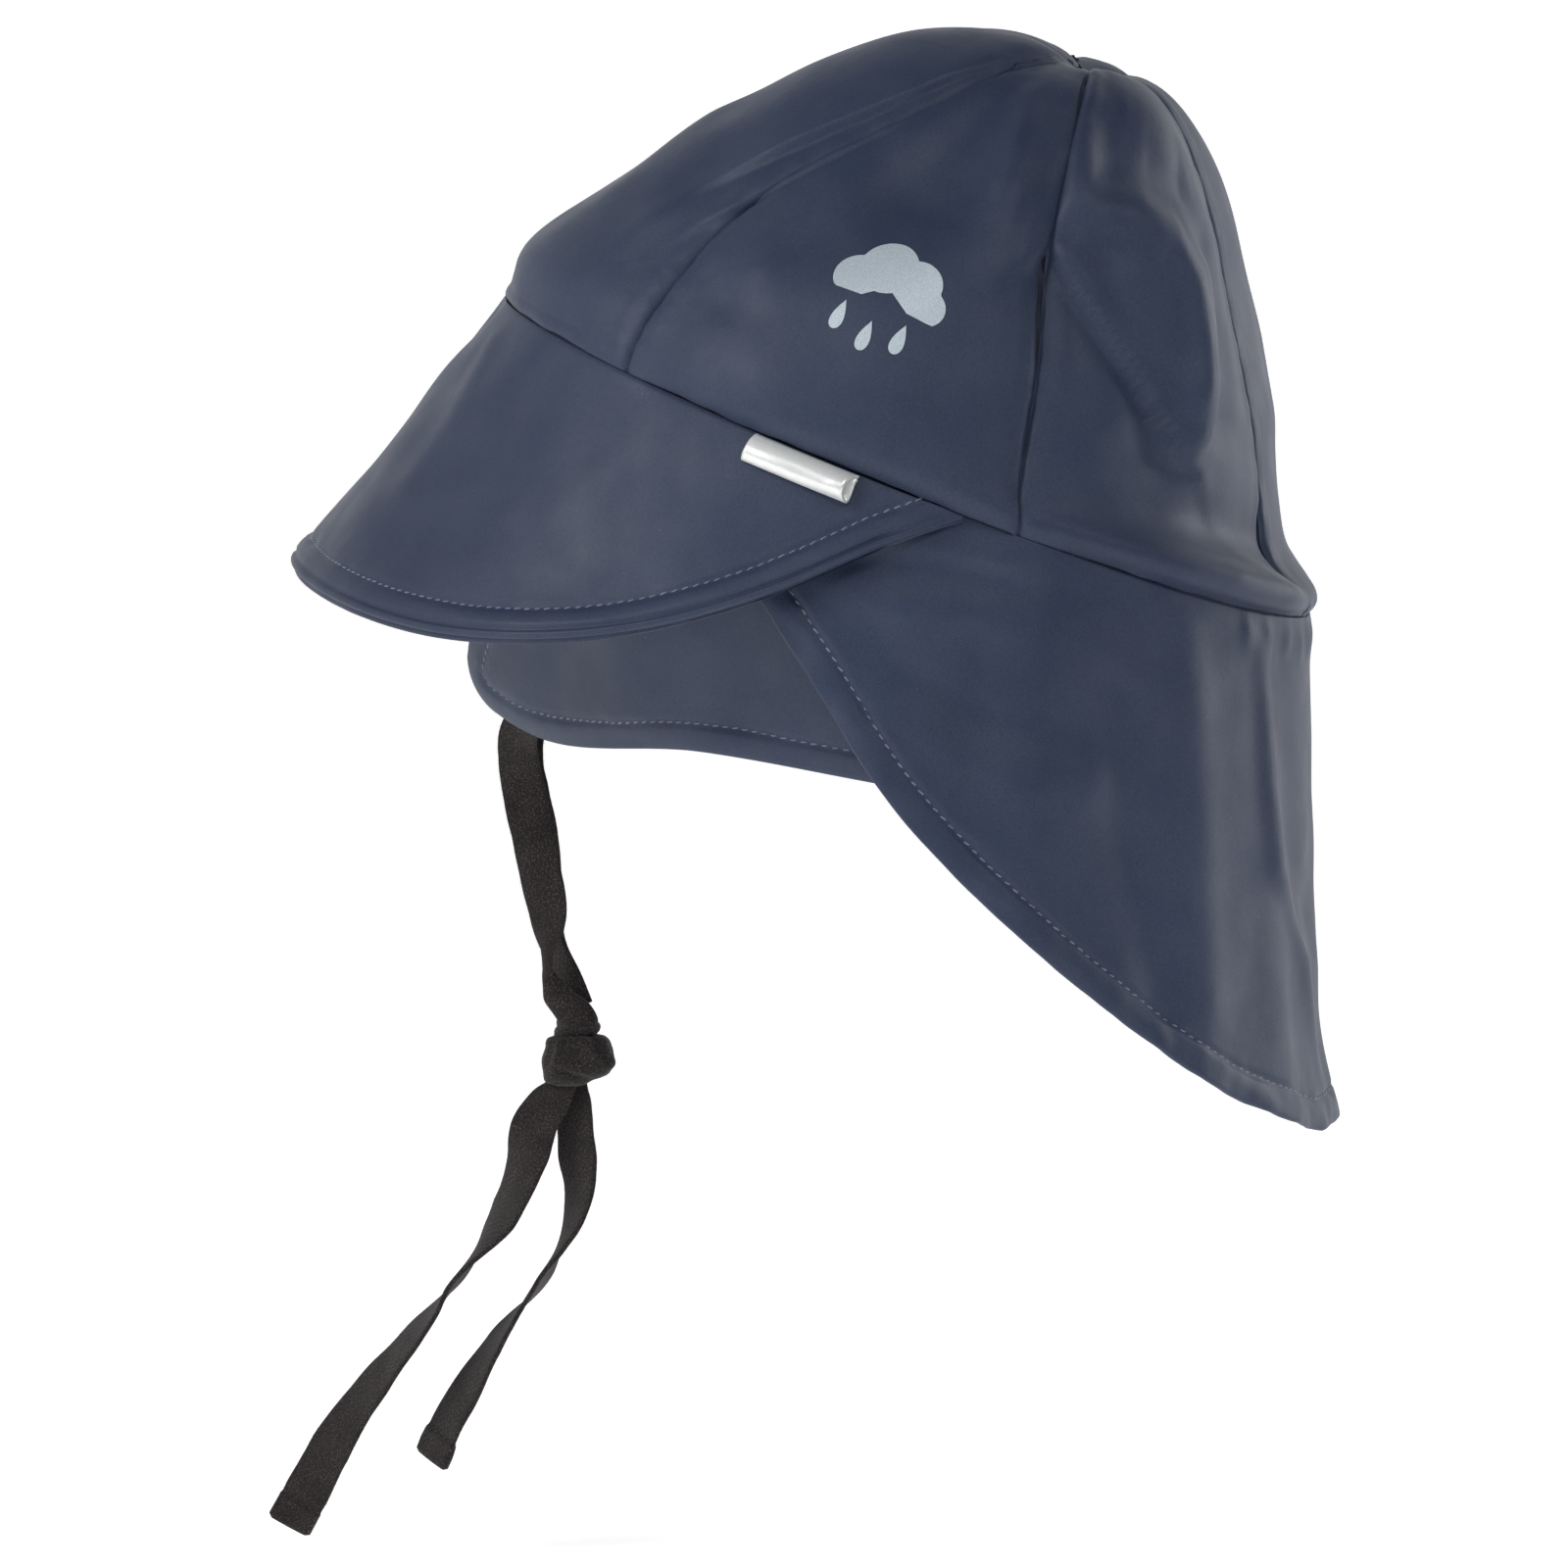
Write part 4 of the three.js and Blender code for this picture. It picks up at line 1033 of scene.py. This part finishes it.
def contour(points, field, level):
    """The longest line on a sheet of points along which a field has this value."""
    over = field > level
    links, place = {}, {}

    def cross(a, b):
        key = (a, b)
        if key not in place:
            place[key] = mix(points[a], points[b], (level - field[a]) / (field[b] - field[a]))
            links[key] = []
        return key

    count = over.astype(int)
    mixed = (count[:-1, :-1] + count[1:, :-1] + count[1:, 1:] + count[:-1, 1:]) % 4 != 0
    for i, j in np.argwhere(mixed):
        ring = [(i, j), (i + 1, j), (i + 1, j + 1), (i, j + 1), (i, j)]
        sides = [pair for pair in zip(ring, ring[1:]) if over[pair[0]] != over[pair[1]]]
        found = [cross(*sorted(pair)) for pair in sides]
        for a, b in zip(found[::2], found[1::2]):
            links[a].append(b)
            links[b].append(a)
    best, seen = [], set()
    for start in sorted(links, key=lambda k: len(links[k])):
        chain, at = [], start
        while at is not None and at not in seen:
            seen.add(at)
            chain.append(at)
            at = next((n for n in links[at] if n not in seen), None)
        if len(chain) > len(best):
            best = chain
    return np.array([place[k] for k in best])


def settled(grid, points):
    """Points moved onto a sheet of points, and the directions square to the sheet there."""
    flat = grid.reshape(-1, 3)
    k = nearest(flat, points)
    n = normals_of(grid).reshape(-1, 3)[k]
    return points - n * np.sum((points - flat[k]) * n, axis=1, keepdims=True), n


def stitches(name, grid, d, seed):
    """A row of thread stitches along a hem. Each is a short bowed dash."""
    line = fine_line(contour(grid, d, HEM), 1.0)
    for _ in range(3):
        line[1:-1] = (line[:-2] + 2 * line[1:-1] + line[2:]) / 4
    rng = np.random.default_rng(seed)
    p, n = settled(grid, resample(line, PITCH, PITCH / 2))
    along = unit(np.gradient(p, axis=0))
    along = unit(along - n * np.sum(along * n, axis=1, keepdims=True))
    side = np.cross(n, along)
    angle = np.radians(STITCH_TURN + rng.normal(0, 3, len(p)))[:, None]
    way = along * np.cos(angle) + side * np.sin(angle)
    side = np.cross(n, way)
    size = STITCH * (1 + rng.normal(0, 0.05, len(p)))[:, None]
    points = []
    for u in np.linspace(-1, 1, STITCH_RINGS):
        r = THREAD_RADIUS * np.sqrt(max(1 - u**4, 0.05))
        lift = THREAD_RADIUS * STITCH_LIFT - 1.1 * THREAD_RADIUS * u**4
        centre = p + way * u * size / 2 + n * lift
        for j in range(STITCH_SIDES):
            a = 2 * np.pi * j / STITCH_SIDES
            points.append(centre + side * r * np.cos(a) + n * r * 0.8 * np.sin(a))
    shape = (STITCH_RINGS, STITCH_SIDES)
    return small_tubes(name, np.stack(points, 1), shape, THREAD)


threads = {}
for sheet, name, seed in (
    ("neck_flap", "neck_stitches", 1),
    ("peak", "peak_stitches", 2),
    ("ear_flap_left", "ear_flap_left_stitches", 6),
    ("ear_flap_right", "ear_flap_right_stitches", 4),
):
    threads[sheet] = [stitches(name, *hemmed_sheets[sheet][1:], seed)]

# The silver label, a ribbon folded into a loop, whose two ends go into the base seam. A point of
# its section is how far down and how far out it is. The label lies between two angles.
LABEL_LOOP = (
    (0, 0.3), (0.7, 1.3), (2, 2.4), (3.6, 2.9), (5, 2.7), (5.9, 2), (6.25, 1.3), (6, 0.75),
    (5, 0.5), (3.4, 0.55), (1.8, 0.65), (0.6, 0.4),
)
LABEL_FROM, LABEL_TO = 82.6, 97.2
LABEL_HALF_THICK = 0.2


def label():
    angle = np.linspace(LABEL_FROM, LABEL_TO, 41)
    top = peak_point(angle, 0.35)
    down = unit(peak_point(angle, 6.0) - top)
    along = unit(np.gradient(top, axis=0))
    out = unit(np.cross(along, down))
    out = out * np.sign(out[:, :1])
    line, _ = spline([(a, b, 0) for a, b in LABEL_LOOP], steps=6)
    # The rear end gapes and is cut at a slant.
    gape = 1 + 0.3 * smoothstep(angle, 90, LABEL_TO) - 0.1 * (1 - smoothstep(angle, LABEL_FROM, 88))
    slant = -2.0 * smoothstep(angle, 93, LABEL_TO)
    turn = unit(np.gradient(line, axis=0))
    side = np.stack([-turn[:, 1], turn[:, 0]], -1)
    faces = []
    for offset in (LABEL_HALF_THICK, -LABEL_HALF_THICK):
        q = line[:, :2] + side * offset
        face = top[:, None] + down[:, None] * q[None, :, :1]
        face = face + out[:, None] * (q[None, :, 1:] * gape[:, None, None])
        lean = slant[:, None] * np.clip(q[:, 1] / 2.9, 0, 1)
        faces.append(face + along[:, None] * lean[..., None])
    uv = np.tile(pairs(angle[:, None] * 1.45, run_length(line)[None, :]), (2, 1))
    sheet_body("side_label_cloth", "side_label", *faces, [], LABEL, "label", uv)


label()

# A plain print on the left side panel: a cloud over three drops. How many degrees it leans, the
# angle and the share of the way up of its middle, and how far it lies above the cloth.
PRINT_LEAN, PRINT_AT, PRINT_UP, PRINT_ABOVE = -24.0, 89.2, 0.43, 0.11


def within(outline, x, y):
    x0, y0 = outline.T
    x1, y1 = np.roll(outline, -1, axis=0).T
    cross = ((y0 > y) != (y1 > y)) & (x < (x1 - x0) * (y - y0) / (y1 - y0 + 1e-12) + x0)
    return cross.sum() % 2 == 1 and np.min(np.hypot(x0 - x, y0 - y)) > 0.35


def print_outlines():
    """The outlines of a cloud and three drops, in mm about the print's middle."""
    puffs = ((-7.5, 3.5, 5.2), (-2.2, 7.6, 6.4), (5.0, 6.4, 5.4), (8.8, 2.6, 4.2))
    around = np.radians(np.arange(0, 360, 3))
    reach = []
    for way in around:
        d = np.array([np.cos(way), np.sin(way)])
        best = 0.5
        for x, y, r in puffs:
            c = np.array([x, y - 3.5])
            b = d @ c
            under = r * r - (c @ c - b * b)
            if under > 0:
                best = max(best, b + np.sqrt(under))
        reach.append(min(best, 4.0 / -d[1]) if d[1] < 0 else best)
    reach = np.array(reach)
    outlines = [np.stack([np.cos(around) * reach, np.sin(around) * reach + 3.5], -1)]
    t = np.radians(np.arange(0, 360, 12))
    drop = np.stack([2.0 * np.sin(t) * np.sin(t / 2) ** 1.2, 3.4 * np.cos(t)], -1)
    return outlines + [drop + place for place in ((-6.8, -6.2), (0.4, -8.4), (7.2, -6.2))]


def print_patch():
    grid = crown["crown_side_left"][1]
    faces = quads(numbered(*grid.shape[:2])).tolist()
    surface = BVHTree.FromPolygons(grid.reshape(-1, 3).tolist(), faces)
    middle = crown_point(np.array(PRINT_AT), np.array(PRINT_UP), np.array(1.0))
    hit = surface.find_nearest(Vector(middle))
    centre, n = np.array(hit[0]), np.array(hit[1])
    if n[0] < 0:
        n = -n
    up = np.array([0, 0, 1.0])
    up = unit(up - n * (up @ n))
    right = np.cross(up, n)
    lean = np.radians(PRINT_LEAN)
    c, s = np.cos(lean), np.sin(lean)
    right, up = right * c + up * s, up * c - right * s
    points, faces = [], []
    for outline in print_outlines():
        xs, ys = (np.arange(c.min(), c.max(), 0.8) for c in outline.T)
        inside = [(x, y) for x in xs for y in ys if within(outline, x, y)]
        places = [Vector(q) for q in outline.tolist() + inside]
        ring = list(range(len(outline)))
        edges = [(k, (k + 1) % len(outline)) for k in ring]
        verts, _, tris, *_ = geometry.delaunay_2d_cdt(places, edges, [ring], 1, 1e-5)
        first = len(points)
        for v in verts:
            q = Vector(centre + right * v.x + up * v.y + n * 6)
            spot, away, *_ = surface.ray_cast(q, Vector(-n))
            if spot is None:
                spot, away = surface.find_nearest(q)[0], n
            spot, away = np.array(spot), np.array(away)
            points.append(spot + (away if away @ n > 0 else -away) * PRINT_ABOVE)
        faces += [[first + k for k in t] for t in tris]
    return mesh_object("side_print", points, faces, PRINT)


print_obj = print_patch()

# The length of each cord's middle line, and each sheet's width, length and area.
KNOT_PIECES = ("knot_body", "knot_turn", "knot_fuzz")
for obj, path, route, end, extra in (
    (tie_left, left_path, TIE_LEFT, "knot", ()),
    (tie_right, right_path, TIE_RIGHT, "knot", ()),
    (tail_long, long_path, TAIL_LONG, "bare", KNOT_PIECES),
    (tail_short, short_path, TAIL_SHORT, "bare", ()),
):
    length = np.sum(norm(np.diff(path, axis=0), axis=1)) * MM


def lengths(grid):
    """A sheet's greatest width and length, and its area, in metres."""
    across = norm(np.diff(grid, axis=0), axis=2).sum(axis=0).max()
    down = norm(np.diff(grid, axis=1), axis=2).sum(axis=1).max()
    a = grid[1:, :-1] - grid[:-1, :-1]
    b = grid[:-1, 1:] - grid[:-1, :-1]
    area = norm(np.cross(a, b), axis=-1).sum()
    return across * MM, down * MM, area * MM * MM


extras = {"crown_side_left": [print_obj], **threads}
for name, (obj, grid, *_) in {**crown, **hemmed_sheets}.items():
    w, l, area = lengths(grid)
    extra = extras.get(name, [])


# The studio: a pale floor that curves up behind, a soft white room and large soft lights. How far
# the floor is below the hat, how far away it turns up, and the radius of its bend, in metres.
FLOOR_BELOW, BACK, BEND = 0.004, 2.4, 0.8
AIM = Vector((0, 0, -0.06))


def studio():
    away = Vector((-TO_CAMERA.x, -TO_CAMERA.y, 0))
    side = Vector((-away.y, away.x, 0))
    floor_z = cad_box[0][2] - FLOOR_BELOW
    run = [(x, 0.0) for x in np.linspace(-3, BACK - BEND, 8)]
    for a in np.linspace(0.1, np.pi / 2, 12):
        run.append((BACK - BEND + BEND * np.sin(a), BEND - BEND * np.cos(a)))
    run += [(BACK, z) for z in np.linspace(1.2, 3.5, 6)]
    points = []
    for s in (-4, 4):
        for x, z in run:
            points.append(LOOKS_AT.xy.to_3d() + away * x + side * s + Vector((0, 0, floor_z + z)))
    mesh = bpy.data.meshes.new("floor")
    mesh.from_pydata(points, [], quads(numbered(2, len(run)).T).tolist())
    mesh.polygons.foreach_set("use_smooth", [True] * len(mesh.polygons))
    white = (0.93, 0.93, 0.93, 1)
    glow = {"Emission_Color": white, "Emission_Strength": 0.56}
    floor = Shader("floor", 0.9, Base_Color=white, Specular_IOR_Level=0.1, **glow)
    mesh.materials.append(floor.material)
    obj = bpy.data.objects.new("floor", mesh)
    scene.collection.objects.link(obj)


def light(name, place, size, power):
    data = bpy.data.lights.new(name, "AREA")
    data.shape = "RECTANGLE"
    data.size, data.size_y = size
    data.energy = power
    obj = bpy.data.objects.new(name, data)
    obj.location = place
    obj.rotation_euler = (AIM - Vector(place)).to_track_quat("-Z", "Y").to_euler()
    scene.collection.objects.link(obj)


world = bpy.data.worlds.new("room")
world.use_nodes = True
world.node_tree.nodes["Background"].inputs["Color"].default_value = (1, 1, 1, 1)
world.node_tree.nodes["Background"].inputs["Strength"].default_value = 0.06
scene.world = world
studio()
light("left_high", (1.2, -1.1, 1.0), (0.9, 0.9), 18)
light("camera_high", (1.6, 0.4, 1.2), (0.9, 0.9), 5.5)
light("right_high", (0.9, 1.3, 1.3), (0.5, 0.5), 7)
light("front", (-0.1, -1.7, 0.4), (0.9, 0.9), 1.5)
light("left_low", (1.1, -1.3, -0.05), (0.5, 0.3), 2.5)
light("rear_low", (-0.8, 1.45, 0.0), (0.8, 0.4), 4)
light("rear_high", (-1.0, 1.1, 0.45), (0.6, 0.5), 5)
